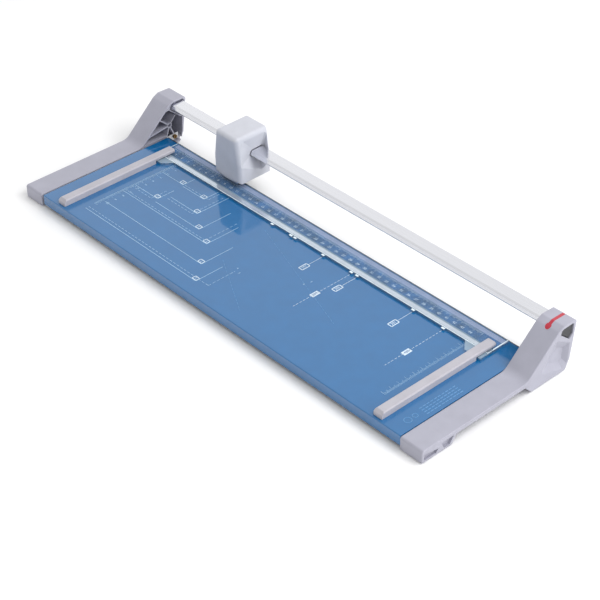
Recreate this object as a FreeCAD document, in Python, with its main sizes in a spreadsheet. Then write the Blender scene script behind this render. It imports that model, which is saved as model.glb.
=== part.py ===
"""Rotary paper trimmer, 460 mm cut, as separate pieces in millimetres.

X runs along the cut, Y from the front edge to the back, Z up. The origin is on the ground at the middle
of the whole object. The cut lies on the rear face of the counter blade.
"""
import FreeCAD
import Part
import Sketcher
import os
import re

V = FreeCAD.Vector

# Driving sizes: alias, millimetres, what it is.
SIZES = [
    ("overall_length", 580, "over both end supports"),
    ("end_width", 27, "one end support, along X"),
    ("front_edge", -98.5, "front face of the supports"),
    ("foot_bottom", 0.8, "underside of the moulded feet"),
    ("arm_top", 14.5, "top of a support's arm"),
    ("arm_bottom", 9.5, "underside of the arm between its feet"),
    ("front_foot_length", 37, "front foot, along the ground"),
    ("front_foot_neck_length", 43, "front edge to where the front foot meets the arm"),
    ("rear_foot_neck", 33, "where the rear foot meets the arm"),
    ("rear_foot_front", 41.5, "front end of the rear foot, at the ground"),
    ("ramp_foot", 34.5, "where the arm turns up into the tower"),
    ("ramp_head_y", 74.3, "top of the ramp"),
    ("ramp_head_z", 50.6, "height of the ramp's top"),
    ("tower_top", 54, "highest line of a tower"),
    ("tower_top_front", 81.1, "front end of the tower's top face"),
    ("tower_back", 98.85, "back of the tower, at the top"),
    ("tower_back_foot", 93.1, "back of the tower, low down"),
    ("tower_back_foot_z", 12, "height of the tower's lower back corner"),
    ("rear_foot_back", 88, "rear end of the rear foot, at the ground"),
    ("skin", 2, "moulded wall"),
    ("web_wall", 7, "outer side of a tower behind its ribbed pocket"),
    ("rib", 1.3, "thickness of a rib"),
    ("outer_recess", 4.2, "depth of the outer web pocket"),
    ("ramp_wall", 1.6, "wall under the ramp, beside the ribbed pocket"),
    ("collar", 2.6, "moulded collar around the rail's socket"),
    ("socket_lip", 1.3, "wider mouth of the socket, around the rail"),
    ("socket_lip_depth", 2.5, "depth of the socket's wider mouth"),
    ("socket_round", 0.6, "rounding of the socket's outer edge"),
    ("edge_round", 0.8, "rounding of a moulded outline"),
    ("kink_round", 14, "rounding where the arm turns up"),
    ("ramp_head_round", 7, "rounding at the top of the ramp"),
    ("tower_round", 2.6, "rounding of the tower's back corner"),
    ("boss_y", 74.1, "tower boss"),
    ("boss_z", 26.6, "tower boss"),
    ("boss_radius", 3.3, "tower boss"),
    ("rail_nose_y", 77.7, "rail section, front nose"),
    ("rail_nose_z", 45.8, "rail section, front nose"),
    ("rail_bevel_y", 79.1, "rail section, top of the bevel"),
    ("rail_bevel_z", 49.6, "rail section, top of the bevel"),
    ("rail_back_y", 94.7, "rail section, back"),
    ("rail_top_z", 50.8, "rail section, top"),
    ("rail_heel_y", 93.9, "rail section, lower back"),
    ("rail_heel_z", 39.4, "rail section, lower back"),
    ("rail_keel_y", 89.7, "rail section, lowest corner"),
    ("rail_keel_z", 35.6, "rail section, lowest corner"),
    ("rail_wall", 1.5, "wall of the hollow rail"),
    ("rail_round", 1.2, "rounding of the rail's corners"),
    ("rail_fit", 0.25, "clearance of the rail in the towers"),
    ("rail_end_gap", 1.2, "end cap behind the tower's outer face"),
    ("plug_length", 14, "rail end plug, inside the rail"),
    ("plug_cap", 3, "cap of the rail end plug"),
    ("fit", 0.05, "clearance between pieces fixed together"),
    ("table_top", 15, "paper surface"),
    ("table_sheet", 1.2, "table sheet"),
    ("table_gap", 0.3, "right table end to the right support"),
    ("table_gap_left", 3.2, "left table end to the left support, an open groove"),
    ("tab_boss_radius", 4.5, "boss that carries a table tab across the groove"),
    ("table_front_inset", 0.8, "table lip behind the supports' front"),
    ("table_lip_bottom", 4, "lower edge of the front lip"),
    ("cut_edge", 67.9, "rear face of the table"),
    ("flange_bottom", 4.5, "lower edge of the table's other flanges"),
    ("bend_round", 1, "outer radius of the sheet's bends"),
    ("tab_length", 22, "table side tab beside a foot"),
    ("tab_front_inset", 18, "front edge to the middle of the front side tab"),
    ("tab_rear_y", 53.5, "middle of the rear side tab"),
    ("tab_screw_z", 7.6, "height of the table screws"),
    ("screw_radius", 1.25, "shank of the small screws"),
    ("screw_head", 2.5, "head radius of the small screws"),
    ("screw_head_height", 1.5, "head of the small screws"),
    ("table_screw_length", 11, "table screw under its head"),
    ("stiffener_width", 20, "table stiffener"),
    ("stiffener_height", 6, "table stiffener"),
    ("stiffener_end_gap", 23, "stiffener end to the support's inner face"),
    ("stiffener_front_inset", 44, "front edge to the middle of the front stiffener"),
    ("stiffener_rear_y", 13.5, "middle of the rear stiffener"),
    ("counter_thickness", 1.2, "counter blade"),
    ("counter_bottom", 5, "lower edge of the counter blade"),
    ("counter_screw_pitch", 100, "between counter blade screws"),
    ("counter_screw_z", 9, "height of the counter blade screws"),
    ("counter_screw_length", 5, "counter blade screw under its head"),
    ("clip_sheet", 1.2, "blade end clip"),
    ("clip_reach", 8, "clip's leg behind the counter blade"),
    ("clip_top", 12, "top of the clip's leg"),
    ("clip_boss_y", 81.5, "boss for the clip"),
    ("clip_boss_z", 9, "boss for the clip"),
    ("clip_inset", 3, "clip behind the support's inner face"),
    ("bar_end_gap", 36.5, "stop face of a side guide to the support's inner face"),
    ("bar_width", 10.4, "side guide"),
    ("bar_height", 7, "side guide"),
    ("bar_front_inset", 4, "front edge to the front end of a side guide"),
    ("bar_back", 51.5, "rear end of a side guide"),
    ("bar_chamfer", 1.2, "top edges of a side guide"),
    ("bar_step", 25.5, "where a side guide starts to bridge the strip"),
    ("bar_bridge", 3.6, "clear height under the bridge"),
    ("bar_screw_pitch", 70, "between a side guide's two screws"),
    ("bar_screw_inset", 26, "front edge to the front screw of a side guide"),
    ("bar_screw_length", 5.5, "side guide screw under its head"),
    ("strip_reach", 13.5, "clear strip beyond a side guide's stop face"),
    ("strip_front", 38.1, "front edge of the clear strip"),
    ("strip_back", 67.1, "rear edge of the clear strip"),
    ("strip_lug_front", 27.3, "front edge of the strip's end lugs"),
    ("strip_lug_length", 19.5, "front edge of an end lug, along X"),
    ("strip_lug_slope", 9.5, "slanted side of a lug, along X"),
    ("strip_thickness", 2, "clear strip"),
    ("paper_gap", 0.6, "strip above the table, at rest"),
    ("strip_round", 0.5, "rounding of the strip's top edges"),
    ("scale_offset", 9, "zero of the printed scales, outside the left guide's stop face"),
    ("nib_width", 4, "format nib on the strip's front edge"),
    ("nib_depth", 2.4, "format nib, how far it stands out"),
    ("leaf_width", 6, "strip leaf spring"),
    ("leaf_sheet", 0.25, "strip leaf spring"),
    ("leaf_front", 29.5, "front end of the leaf spring"),
    ("leaf_bend", 35.5, "bend of the leaf spring"),
    ("leaf_back", 47.5, "raised end of the leaf spring"),
    ("head_rest_x", -144, "middle of the head at rest"),
    ("head_front", 54.5, "front face of the head"),
    ("head_back", 97.5, "back of the head"),
    ("head_top", 74.8, "top of the head"),
    ("head_half_width", 20.5, "half width of the head at its flanks"),
    ("head_flank_z", 44, "height up to which the flanks are upright"),
    ("head_top_half_width", 16.2, "half width of the head's top"),
    ("head_side_bottom", 22.4, "lower edge of the head's sides"),
    ("head_belly", 19.8, "lowest line of the head's curved bottom"),
    ("head_wall", 2.4, "wall of the head"),
    ("head_round", 4, "rounding of the head's top"),
    ("head_edge_round", 2, "rounding of the head's front and back"),
    ("head_front_round", 4.5, "rounding of the head's front"),
    ("funnel_depth", 9, "depth of the hollow that narrows to the rail, in each side"),
    ("funnel_wall", 1.8, "wall of the hollow"),
    ("funnel_gap", 1.5, "bottom of the hollow around the rail"),
    ("funnel_front", 56, "front edge of the hollow"),
    ("funnel_front_top", 51.5, "front upper corner of the hollow's outline"),
    ("funnel_back", 95.3, "rear edge of the hollow"),
    ("funnel_low_front", 42, "lower front corner of the hollow"),
    ("funnel_low_middle", 29.5, "lowest corner of the hollow"),
    ("funnel_low_back", 33, "lower rear corner of the hollow"),
    ("funnel_top", 83, "upper edge of the hollow's outline, above the sloping flank"),
    ("head_rail_gap", 0.9, "clearance of the shell around the rail"),
    ("back_cover_thickness", 1.4, "head back cover"),
    ("cover_screw_head", 0.8, "flat head of the head's screws"),
    ("block_half_length", 6.5, "slide block, half length along X"),
    ("block_bottom", 20.6, "underside of the slide block"),
    ("block_top", 56, "top of the slide block"),
    ("block_rail_gap", 0.8, "clearance of the slide block around the rail"),
    ("bush_thickness", 2.4, "glide bush along X"),
    ("bush_fit", 0.06, "running clearance of a glide bush on the rail"),
    ("bush_rim", 1.2, "glide bush around the rail"),
    ("blade_radius", 14, "rotary blade"),
    ("blade_thickness", 0.5, "rotary blade"),
    ("blade_bevel", 1.6, "ground edge of the rotary blade"),
    ("blade_bite", 1.6, "blade edge below the paper surface"),
    ("blade_side_fit", 0.03, "rotary blade to the counter blade"),
    ("hub_radius", 5.5, "blade hub"),
    ("hub_front", 2.4, "hub ring in front of the blade"),
    ("hub_tube", 3.4, "hub radius inside the blade"),
    ("hub_back", 1.2, "hub behind the blade"),
    ("axle_radius", 2, "blade axle"),
    ("axle_fit", 0.03, "running clearance on the axles"),
    ("side_play", 0.15, "axial play of turning pieces"),
    ("holder_flange", 7, "blade holder's flange radius"),
    ("holder_flange_height", 1.6, "blade holder's flange"),
    ("holder_stem", 5, "blade holder's stem radius"),
    ("holder_stem_length", 11, "blade holder's stem"),
    ("holder_fit", 0.05, "running clearance of the stem in its bore"),
    ("holder_gap", 1.2, "flange in front of the slide block"),
    ("holder_bore", 14.2, "depth of the stem's bore"),
    ("axle_seat", 4, "blade axle inside the stem"),
    ("spring_wire", 0.6, "blade spring"),
    ("spring_radius", 3.6, "blade spring"),
    ("roller_radius", 4.4, "press roller"),
    ("roller_width", 5.5, "press roller"),
    ("roller_side", 11.5, "press roller beside the blade"),
    ("roller_gap", 0.05, "press roller above the strip"),
    ("roller_front", 59.5, "front face of the press rollers"),
    ("roller_collar", 2.6, "collar of a press roller axle"),
    ("roller_collar_height", 1, "end collar of a press roller axle"),
    ("roller_axle_radius", 1.5, "press roller axle"),
    ("foot_pad_radius", 7, "rubber foot"),
    ("foot_pad_height", 2.2, "rubber foot"),
    ("foot_front_inset", 16, "front edge to the middle of the front rubber feet"),
    ("foot_rear_y", 67.5, "middle of the rear rubber feet"),
    ("accent_width", 3.4, "accent inlay"),
    ("accent_bulb", 2.9, "round end of the accent inlay"),
    ("accent_depth", 0.7, "accent inlay"),
    ("accent_bulb_y", 74.9, "round end of the accent inlay"),
]

# Places that follow other sizes: name and expression.
DERIVED = {
    "web_depth": "(end_width - web_wall)",
    "front_foot_back": "(front_edge + front_foot_length)",
    "front_foot_neck": "(front_edge + front_foot_neck_length)",
    "table_front": "(front_edge + table_front_inset)",
    "tab_front_y": "(front_edge + tab_front_inset)",
    "stiffener_front_y": "(front_edge + stiffener_front_inset)",
    "bar_front": "(front_edge + bar_front_inset)",
    "bar_screw_y": "(front_edge + bar_screw_inset)",
    "foot_front_y": "(front_edge + foot_front_inset)",
    "bar_inner": "(overall_length / 2 - end_width - bar_end_gap)",
    "stiffener_half_length": "(overall_length / 2 - end_width - stiffener_end_gap)",
    "strip_half_length": "(bar_inner + strip_reach)",
    "strip_lug_inner": "(strip_half_length - strip_lug_length)",
    "strip_lug_root": "(strip_lug_inner - strip_lug_slope)",
    "scale_zero": "(bar_inner + scale_offset)",
}

# Distance of each format nib from the zero of the printed scales: standard sheet widths.
NIB_MARKS = [182, 210, 216, 257, 297, 305, 381, 420]

doc = FreeCAD.newDocument("rotary_trimmer")
sheet = doc.addObject("Spreadsheet::Sheet", "Sizes")
for row, (alias, number, note) in enumerate(SIZES, start=1):
    sheet.set(f"A{row}", note)
    sheet.set(f"B{row}", str(number))
    sheet.setAlias(f"B{row}", alias)
doc.recompute()
ALIASES = {alias for alias, number, note in SIZES}
NODES = []

# Plane role, and which way its normal points along the world axis it is offset on.
PLANES = {"YZ": ("YZ_Plane", 1), "XZ": ("XZ_Plane", -1), "XY": ("XY_Plane", 1)}


def bound(text):
    """The expression with each alias written as a reference to the sheet, and each derived name written out."""
    def written(match):
        name = match[0]
        if name in DERIVED:
            return bound(DERIVED[name])
        return f"Sizes.{name}" if name in ALIASES else name

    return re.sub(r"[a-z_]+", written, str(text))


def number_of(text):
    """What the expression is worth now."""
    return float(sheet.evalExpression(bound(text)))


def plus(text, amount):
    return f"({text}) + ({amount})"


# ---------------------------------------------------------------- PartDesign helpers

def new_body(label):
    body = doc.addObject("PartDesign::Body", label)
    body.Label = label
    return body


def sketch_on(body, plane, where="0"):
    """A sketch on the body's own plane, moved along the plane's world axis to where."""
    role, sign = PLANES[plane]
    origin = next(f for f in body.Origin.OriginFeatures if f.Role == role)
    sketch = body.newObject("Sketcher::SketchObject", "Sketch")
    sketch.AttachmentSupport = [(origin, "")]
    sketch.MapMode = "FlatFace"
    sketch.setExpression("AttachmentOffset.Base.z", bound(f"{sign} * ({where})"))
    sketch.recompute()
    return sketch


def bind_point(sketch, geometry, position, x, y):
    for kind, text in (("DistanceX", x), ("DistanceY", y)):
        index = sketch.addConstraint(Sketcher.Constraint(kind, -1, 1, geometry, position, number_of(text)))
        sketch.setExpression(f"Constraints[{index}]", bound(text))


def outline(sketch, corners):
    """Closed outline of straight edges; both coordinates of every corner are bound."""
    first = sketch.GeometryCount
    points = [V(number_of(x), number_of(y), 0) for x, y in corners]
    for start, end in zip(points, points[1:] + points[:1]):
        sketch.addGeometry(Part.LineSegment(start, end), False)
    for i in range(len(points)):
        follower = first + (i + 1) % len(points)
        sketch.addConstraint(Sketcher.Constraint("Coincident", first + i, 2, follower, 1))
    for i, (x, y) in enumerate(corners):
        bind_point(sketch, first + i, 1, x, y)


def rectangle(sketch, x0, y0, x1, y1):
    outline(sketch, [(x0, y0), (x1, y0), (x1, y1), (x0, y1)])


def circle(sketch, x, y, radius):
    centre = V(number_of(x), number_of(y), 0)
    index = sketch.addGeometry(Part.Circle(centre, V(0, 0, 1), number_of(radius)), False)
    bind_point(sketch, index, 3, x, y)
    size = sketch.addConstraint(Sketcher.Constraint("Radius", index, number_of(radius)))
    sketch.setExpression(f"Constraints[{size}]", bound(radius))


def plane_sign(sketch):
    role = sketch.AttachmentSupport[0][0].Role
    return next(sign for name, sign in PLANES.values() if name == role)


def pad(body, sketch, length, toward=1):
    feature = body.newObject("PartDesign::Pad", "Pad")
    feature.Profile = sketch
    feature.setExpression("Length", bound(length))
    feature.Reversed = toward != plane_sign(sketch)
    doc.recompute()
    return feature


def pocket(body, sketch, length, toward=1):
    before = body.Shape.Volume
    feature = body.newObject("PartDesign::Pocket", "Pocket")
    feature.Profile = sketch
    feature.setExpression("Length", bound(length))
    feature.Reversed = toward == plane_sign(sketch)
    doc.recompute()
    if not body.Shape.Volume < before - 1e-3:
        raise RuntimeError(f"{body.Label}: a pocket cuts nothing")
    return feature


def hollow(body, mouth, bottom):
    """Cuts the space between two closed outlines with as many corners."""
    before = body.Shape.Volume
    feature = body.newObject("PartDesign::SubtractiveLoft", "Hollow")
    feature.Profile = mouth
    feature.Sections = [bottom]
    feature.Ruled = True
    doc.recompute()
    if not body.Shape.Volume < before - 1e-3:
        raise RuntimeError(f"{body.Label}: a hollow cuts nothing")


def round_edges(body, radius, chosen, kind="Fillet"):
    tip = body.Tip
    names = [f"Edge{i}" for i, edge in enumerate(tip.Shape.Edges, start=1) if chosen(edge)]
    if not names:
        raise RuntimeError(f"{body.Label}: no edge to round")
    feature = body.newObject(f"PartDesign::{kind}", kind)
    feature.Base = (tip, names)
    feature.setExpression("Radius" if kind == "Fillet" else "Size", bound(radius))
    doc.recompute()


def along_x(corners, tolerance=0.02):
    """Chooses the edges that run along X through one of the (y, z) corners."""
    places = [(number_of(y), number_of(z)) for y, z in corners]

    def chosen(edge):
        ends = [vertex.Point for vertex in edge.Vertexes]
        if len(ends) != 2 or abs(ends[0].y - ends[1].y) + abs(ends[0].z - ends[1].z) > tolerance:
            return False
        return any(abs(ends[0].y - y) + abs(ends[0].z - z) < tolerance for y, z in places)

    return chosen


def in_plane(axis, places, tolerance=0.01):
    """Chooses the edges that lie wholly in one of the planes axis = place."""
    values = [number_of(place) for place in places]

    def chosen(edge):
        box = edge.BoundBox
        low, high = getattr(box, f"{axis}Min"), getattr(box, f"{axis}Max")
        return any(abs(low - at) < tolerance and abs(high - at) < tolerance for at in values)

    return chosen


# ---------------------------------------------------------------- Part helpers

def cylinder(name, radius, length, base, axis):
    """A cylinder from base along axis, which is one of +X -X +Y -Y +Z -Z."""
    turns = {"X": (V(0, 1, 0), 90), "Y": (V(1, 0, 0), -90), "Z": (V(0, 0, 1), 0)}
    around, angle = turns[axis[1]]
    if axis[0] == "-":
        angle = angle - 180 if axis[1] != "Z" else 180
        around = V(1, 0, 0) if axis[1] == "Z" else around
    piece = doc.addObject("Part::Cylinder", name)
    piece.setExpression("Radius", bound(radius))
    piece.setExpression("Height", bound(length))
    piece.Placement = FreeCAD.Placement(V(0, 0, 0), FreeCAD.Rotation(around, angle))
    for letter, text in zip("xyz", base):
        piece.setExpression(f"Placement.Base.{letter}", bound(text))
    return piece


def block(name, low, high):
    piece = doc.addObject("Part::Box", name)
    for side, letter, start, end in zip(("Length", "Width", "Height"), "xyz", low, high):
        piece.setExpression(side, bound(f"({end}) - ({start})"))
        piece.setExpression(f"Placement.Base.{letter}", bound(start))
    return piece


def fused(name, pieces):
    result = doc.addObject("Part::MultiFuse", name)
    result.Shapes = pieces
    return result


def cut(name, base, tool):
    result = doc.addObject("Part::Cut", name)
    result.Base = base
    result.Tool = tool
    return result


def common(name, first, second):
    result = doc.addObject("Part::Common", name)
    result.Base = first
    result.Tool = second
    return result


def group(label, pieces):
    result = doc.addObject("Part::Compound", label)
    result.Label = label
    result.Links = pieces
    return result


def node(label, piece):
    """Registers the finished sub-part under its own label."""
    piece.Label = label
    NODES.append(piece)
    return piece


def opposite(axis):
    return ("-" if axis[0] == "+" else "+") + axis[1]


def stepped(base, axis, amount):
    """The base point moved along the axis by an expression."""
    letter = "XYZ".index(axis[1])
    sign = "" if axis[0] == "+" else "-"
    return tuple(plus(text, f"{sign}({amount})") if i == letter else text for i, text in enumerate(base))


def screw(name, base, axis, length, head=("screw_head", "screw_head_height"), shank="screw_radius"):
    """Slotted screw whose head rests on the surface at base and whose shank goes on along axis."""
    head_radius, head_height = head
    body = cylinder(f"{name}_shank", shank, length, base, axis)
    top = cylinder(f"{name}_head", head_radius, head_height, base, opposite(axis))
    low = [plus(text, f"-({head_radius}) - 1") for text in base]
    high = [plus(text, f"({head_radius}) + 1") for text in base]
    letter = "XYZ".index(axis[1])
    slot_axis = (letter + 1) % 3
    low[slot_axis] = plus(base[slot_axis], "-0.3")
    high[slot_axis] = plus(base[slot_axis], "0.3")
    outer = stepped(base, opposite(axis), f"{head_height} + 1")
    inner = stepped(base, opposite(axis), f"{head_height} / 2")
    ends = (outer, inner) if axis[0] == "+" else (inner, outer)
    low[letter] = ends[0][letter]
    high[letter] = ends[1][letter]
    return cut(name, fused(f"{name}_blank", [body, top]), block(f"{name}_slot", low, high))


# ---------------------------------------------------------------- Shared outlines

inner_face = "(overall_length / 2 - end_width)"
outer_face = "(overall_length / 2)"

RAIL = [
    ("rail_nose_y", "rail_nose_z"),
    ("rail_bevel_y", "rail_bevel_z"),
    ("rail_bevel_y + 2", "rail_top_z - 0.4"),
    ("rail_back_y - 1.2", "rail_top_z"),
    ("rail_back_y", "rail_top_z - 1.6"),
    ("rail_heel_y", "rail_heel_z"),
    ("rail_keel_y", "rail_keel_z"),
]


def rail_outline(grow):
    """The rail's section, moved outward by grow all round (inward where grow is negative)."""
    points = [V(number_of(y), number_of(z), 0) for y, z in RAIL]
    corners = []
    for i, (y, z) in enumerate(RAIL):
        before = (points[i] - points[i - 1]).normalize()
        after = (points[(i + 1) % len(points)] - points[i]).normalize()
        normals = V(-before.y, before.x, 0) + V(-after.y, after.x, 0)
        share = normals * (1 / (1 + before.dot(after)))
        corners.append((f"{y} + {share.x:.5f} * ({grow})", f"{z} + {share.y:.5f} * ({grow})"))
    return corners


SUPPORT = [
    ("front_edge", "foot_bottom"),
    ("front_edge", "arm_top"),
    ("ramp_foot", "arm_top"),
    ("ramp_head_y", "ramp_head_z"),
    ("tower_top_front", "tower_top"),
    ("tower_back", "tower_top - 0.6"),
    ("tower_back_foot", "tower_back_foot_z"),
    ("rear_foot_back", "foot_bottom"),
    ("rear_foot_front", "foot_bottom"),
    ("rear_foot_neck", "arm_bottom"),
    ("front_foot_neck", "arm_bottom"),
    ("front_foot_back", "foot_bottom"),
]


# ---------------------------------------------------------------- End supports

def slanted_rib(sketch, start, end):
    """A rib between two (y, z) points, its thickness measured level or upright, whichever is nearer."""
    steep = abs(number_of(end[1]) - number_of(start[1])) > abs(number_of(end[0]) - number_of(start[0]))
    dy, dz = ("rib * 0.6", "0") if steep else ("0", "rib * 0.6")
    outline(sketch, [
        (plus(start[0], f"-({dy})"), plus(start[1], f"-({dz})")),
        (plus(end[0], f"-({dy})"), plus(end[1], f"-({dz})")),
        (plus(end[0], dy), plus(end[1], dz)),
        (plus(start[0], dy), plus(start[1], dz)),
    ])


def support_blank(label, side, inset="0"):
    """The support's outline as a solid with its corners rounded; inset shrinks its upper faces."""
    body = new_body(label)
    low_face = inner_face if side > 0 else f"-{outer_face}"
    drop = f"-({inset})"
    corners = [(y, plus(z, drop) if i in (1, 2, 3, 4, 5) else z) for i, (y, z) in enumerate(SUPPORT)]
    corners[2] = (plus(corners[2][0], f"0.5 * ({inset})"), corners[2][1])
    corners[3] = (plus(corners[3][0], f"0.5 * ({inset})"), corners[3][1])
    sketch = sketch_on(body, "YZ", low_face)
    outline(sketch, corners)
    pad(body, sketch, "end_width")
    round_edges(body, "kink_round", along_x([corners[2]]))
    round_edges(body, "ramp_head_round", along_x([corners[3]]))
    round_edges(body, "tower_round", along_x([corners[1], corners[4], corners[5], corners[6], corners[7]]))
    return body


def end_support(label, side):
    """Moulded support: arm and feet, a tower with a ribbed pocket inside and a web pocket outside."""
    body = support_blank(label, side)
    near = f"({side}) * {inner_face}"
    far = f"({side}) * {outer_face}"
    round_edges(body, "edge_round", in_plane("X", [near, far]))

    # Ribbed pocket, open towards the rail; a collar stays around the rail's socket.
    floor = "(table_top + 0.7)"
    ramp_run = "((ramp_head_y - ramp_foot) / (ramp_head_z - arm_top))"

    def under_ramp(z):
        """The place along Y of the ramp's inner wall at height z."""
        return f"ramp_foot + ramp_wall * 1.5 + {ramp_run} * ({z} - arm_top)"

    collar_outline = rail_outline("(rail_fit + collar)")
    sketch = sketch_on(body, "YZ", near)
    outline(sketch, [
        (under_ramp(floor), floor),
        (under_ramp("(rail_nose_z - 1)"), "rail_nose_z - 1"),
        collar_outline[0],
        collar_outline[6],
        ("tower_back_foot + 0.4 - skin * 0.5", "rail_keel_z - collar - 1"),
        ("tower_back_foot - skin", "tower_back_foot_z"),
        ("rear_foot_back - skin", "foot_bottom + skin"),
        ("cut_edge + counter_thickness + 1.4", "foot_bottom + skin"),
        ("cut_edge + counter_thickness + 1.4", floor),
    ])
    pocket(body, sketch, "web_depth", toward=side)

    # Ribs and bosses inside it.
    boss = ("boss_y", "boss_z")
    for target in (
        (f"{under_ramp('(boss_z + 11)')} - 1", "boss_z + 11"),
        (f"{under_ramp('(arm_top + 8)')} - 1", "arm_top + 8"),
        ("rail_keel_y - 7", "rail_keel_z + 1"),
        ("cut_edge + counter_thickness + 1", floor),
        ("clip_boss_y", "clip_boss_z"),
    ):
        rib_sketch = sketch_on(body, "YZ", near)
        slanted_rib(rib_sketch, boss, target)
        pad(body, rib_sketch, "web_depth + 0.5", toward=side)
    sketch = sketch_on(body, "YZ", near)
    circle(sketch, *boss, "boss_radius")
    pad(body, sketch, "web_depth + 0.5", toward=side)
    sketch = sketch_on(body, "YZ", near)
    circle(sketch, *boss, "boss_radius - rib")
    pocket(body, sketch, "web_depth - 3", toward=side)
    sketch = sketch_on(body, "YZ", near)
    circle(sketch, "clip_boss_y", "clip_boss_z", "boss_radius")
    pad(body, sketch, "web_depth + 0.5", toward=side)
    sketch = sketch_on(body, "YZ", near)
    rectangle(sketch, "cut_edge - 0.5", "foot_bottom + skin", "tower_back_foot - skin - 1", "clip_top + 1.5")
    pocket(body, sketch, "clip_inset", toward=side)
    sketch = sketch_on(body, "YZ", near)
    circle(sketch, "clip_boss_y", "clip_boss_z", "screw_radius + fit")
    pocket(body, sketch, "web_depth", toward=side)

    # Faceted pocket in the outer face: its sloping walls run down to a smaller floor.
    rim = [
        ("(rail_nose_y - 5.6)", "(rail_nose_z - 3.6)"),
        ("(rail_keel_y + 1.3)", "(rail_keel_z - 4.6)"),
        ("(tower_back_foot - 3.5)", "(foot_bottom + 7)"),
        ("(rear_foot_back - 5)", "(foot_bottom + 3.5)"),
        ("(ramp_foot + 21.5)", "(arm_top - 1)"),
        ("(ramp_foot + 20)", "(arm_top + 3.5)"),
    ]
    middle = ("(rail_keel_y - 8)", "(foot_bottom + 18)")
    rim_sketch = sketch_on(body, "YZ", far)
    outline(rim_sketch, rim)
    floor_sketch = sketch_on(body, "YZ", f"({side}) * ({outer_face} - outer_recess)")
    outline(floor_sketch, [(f"{y} * 0.5 + {middle[0]} * 0.5", f"{z} * 0.5 + {middle[1]} * 0.5") for y, z in rim])
    hollow(body, rim_sketch, floor_sketch)

    # Two shallow hollows in the front foot, with a slanted web between them.
    for hollow_outline in (
        [
            ("front_edge + skin", "foot_bottom + skin"),
            ("front_edge + skin + 1", "arm_bottom"),
            ("front_foot_back - 17", "arm_bottom - 3"),
            ("front_foot_back - 20", "foot_bottom + skin"),
        ],
        [
            ("front_foot_back - 13", "arm_bottom + 0.5"),
            ("front_foot_neck - 4", "arm_bottom + 0.5"),
            ("front_foot_back - skin * 1.5", "foot_bottom + skin"),
            ("front_foot_back - 10", "foot_bottom + skin"),
        ],
    ):
        sketch = sketch_on(body, "YZ", far)
        outline(sketch, hollow_outline)
        pocket(body, sketch, "outer_recess * 0.6", toward=-side)

    # A boss under the rail's socket for its screw; the socket then goes right through.
    sketch = sketch_on(body, "XY", rail_screw_seat)
    circle(sketch, f"({side}) * {rail_screw_x}", rail_screw_y, "boss_radius")
    pad(body, sketch, "4")
    sketch = sketch_on(body, "YZ", near)
    outline(sketch, rail_outline("rail_fit"))
    pocket(body, sketch, "end_width", toward=side)
    low_corners = [corner for i, corner in enumerate(rail_outline("rail_fit")) if i in (0, 6)]
    low_nose, low_keel = [(number_of(y), number_of(z)) for y, z in low_corners]
    outer_plane = in_plane("X", [far])

    def socket_rim(edge):
        box = edge.BoundBox
        return outer_plane(edge) and box.YMin > low_nose[0] - 0.1 and box.ZMin > low_keel[1] - 0.1

    round_edges(body, "socket_round", socket_rim)
    sketch = sketch_on(body, "YZ", near)
    outline(sketch, rail_outline("(rail_fit + socket_lip)"))
    pocket(body, sketch, "socket_lip_depth", toward=side)

    # Screw holes for the table's side tabs, the rail screw and seats for the rubber feet.
    if side < 0:
        sketch = sketch_on(body, "YZ", near)
        circle(sketch, "tab_front_y", "tab_screw_z", "tab_boss_radius")
        circle(sketch, "tab_rear_y", "tab_screw_z", "tab_boss_radius")
        pad(body, sketch, "table_gap_left - fit", toward=-side)
    sketch = sketch_on(body, "YZ", f"({side}) * ({inner_face} - table_gap_left - 1)")
    circle(sketch, "tab_front_y", "tab_screw_z", "screw_radius + fit")
    circle(sketch, "tab_rear_y", "tab_screw_z", "screw_radius + fit")
    pocket(body, sketch, "table_gap_left + table_screw_length + 2", toward=side)
    sketch = sketch_on(body, "XY", "foot_bottom")
    for y in ("foot_front_y", "foot_rear_y"):
        circle(sketch, f"({side}) * (overall_length / 2 - end_width / 2)", y, "foot_pad_radius + fit")
    pocket(body, sketch, "foot_pad_height - foot_bottom", toward=1)
    sketch = sketch_on(body, "XY", rail_screw_seat)
    circle(sketch, f"({side}) * {rail_screw_x}", rail_screw_y, "screw_radius + fit")
    pocket(body, sketch, "8", toward=1)
    return body


rail_screw_x = "(overall_length / 2 - rail_end_gap - plug_cap - plug_length / 2)"
rail_screw_y = "(rail_keel_y - 2.8)"
rail_screw_seat = "(rail_keel_z - collar - 1)"

left_support = end_support("left_end_support", -1)
node("left_end_support", left_support)

right_raw = end_support("right_support_blank", 1)
accent_core = support_blank("accent_core", 1, inset="accent_depth")
accent_middle = f"({outer_face} - end_width / 2)"
accent_band = block(
    "accent_band",
    (f"{accent_middle} - accent_width / 2", "accent_bulb_y", "arm_top"),
    (f"{accent_middle} + accent_width / 2", "tower_back - 2.4", "tower_top + 1"),
)
accent_dot = cylinder(
    "accent_dot", "accent_bulb", "tower_top", (accent_middle, "accent_bulb_y", "arm_top"), "+Z"
)
accent_zone = fused("accent_zone", [accent_band, accent_dot])
accent_skin = common("accent_skin", right_raw, accent_zone)
accent = node("red_inlay", cut("red_inlay", accent_skin, accent_core))
node("right_end_support", cut("right_end_support", right_raw, accent))

feet = []
for side, word in ((-1, "left"), (1, "right")):
    for y, end in (("foot_front_y", "front"), ("foot_rear_y", "rear")):
        middle = f"({side}) * (overall_length / 2 - end_width / 2)"
        feet.append(cylinder(f"{word}_{end}_foot", "foot_pad_radius", "foot_pad_height", (middle, y, "0"), "+Z"))
node("rubber_feet", group("rubber_feet", feet))


# ---------------------------------------------------------------- Guide rail

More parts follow.
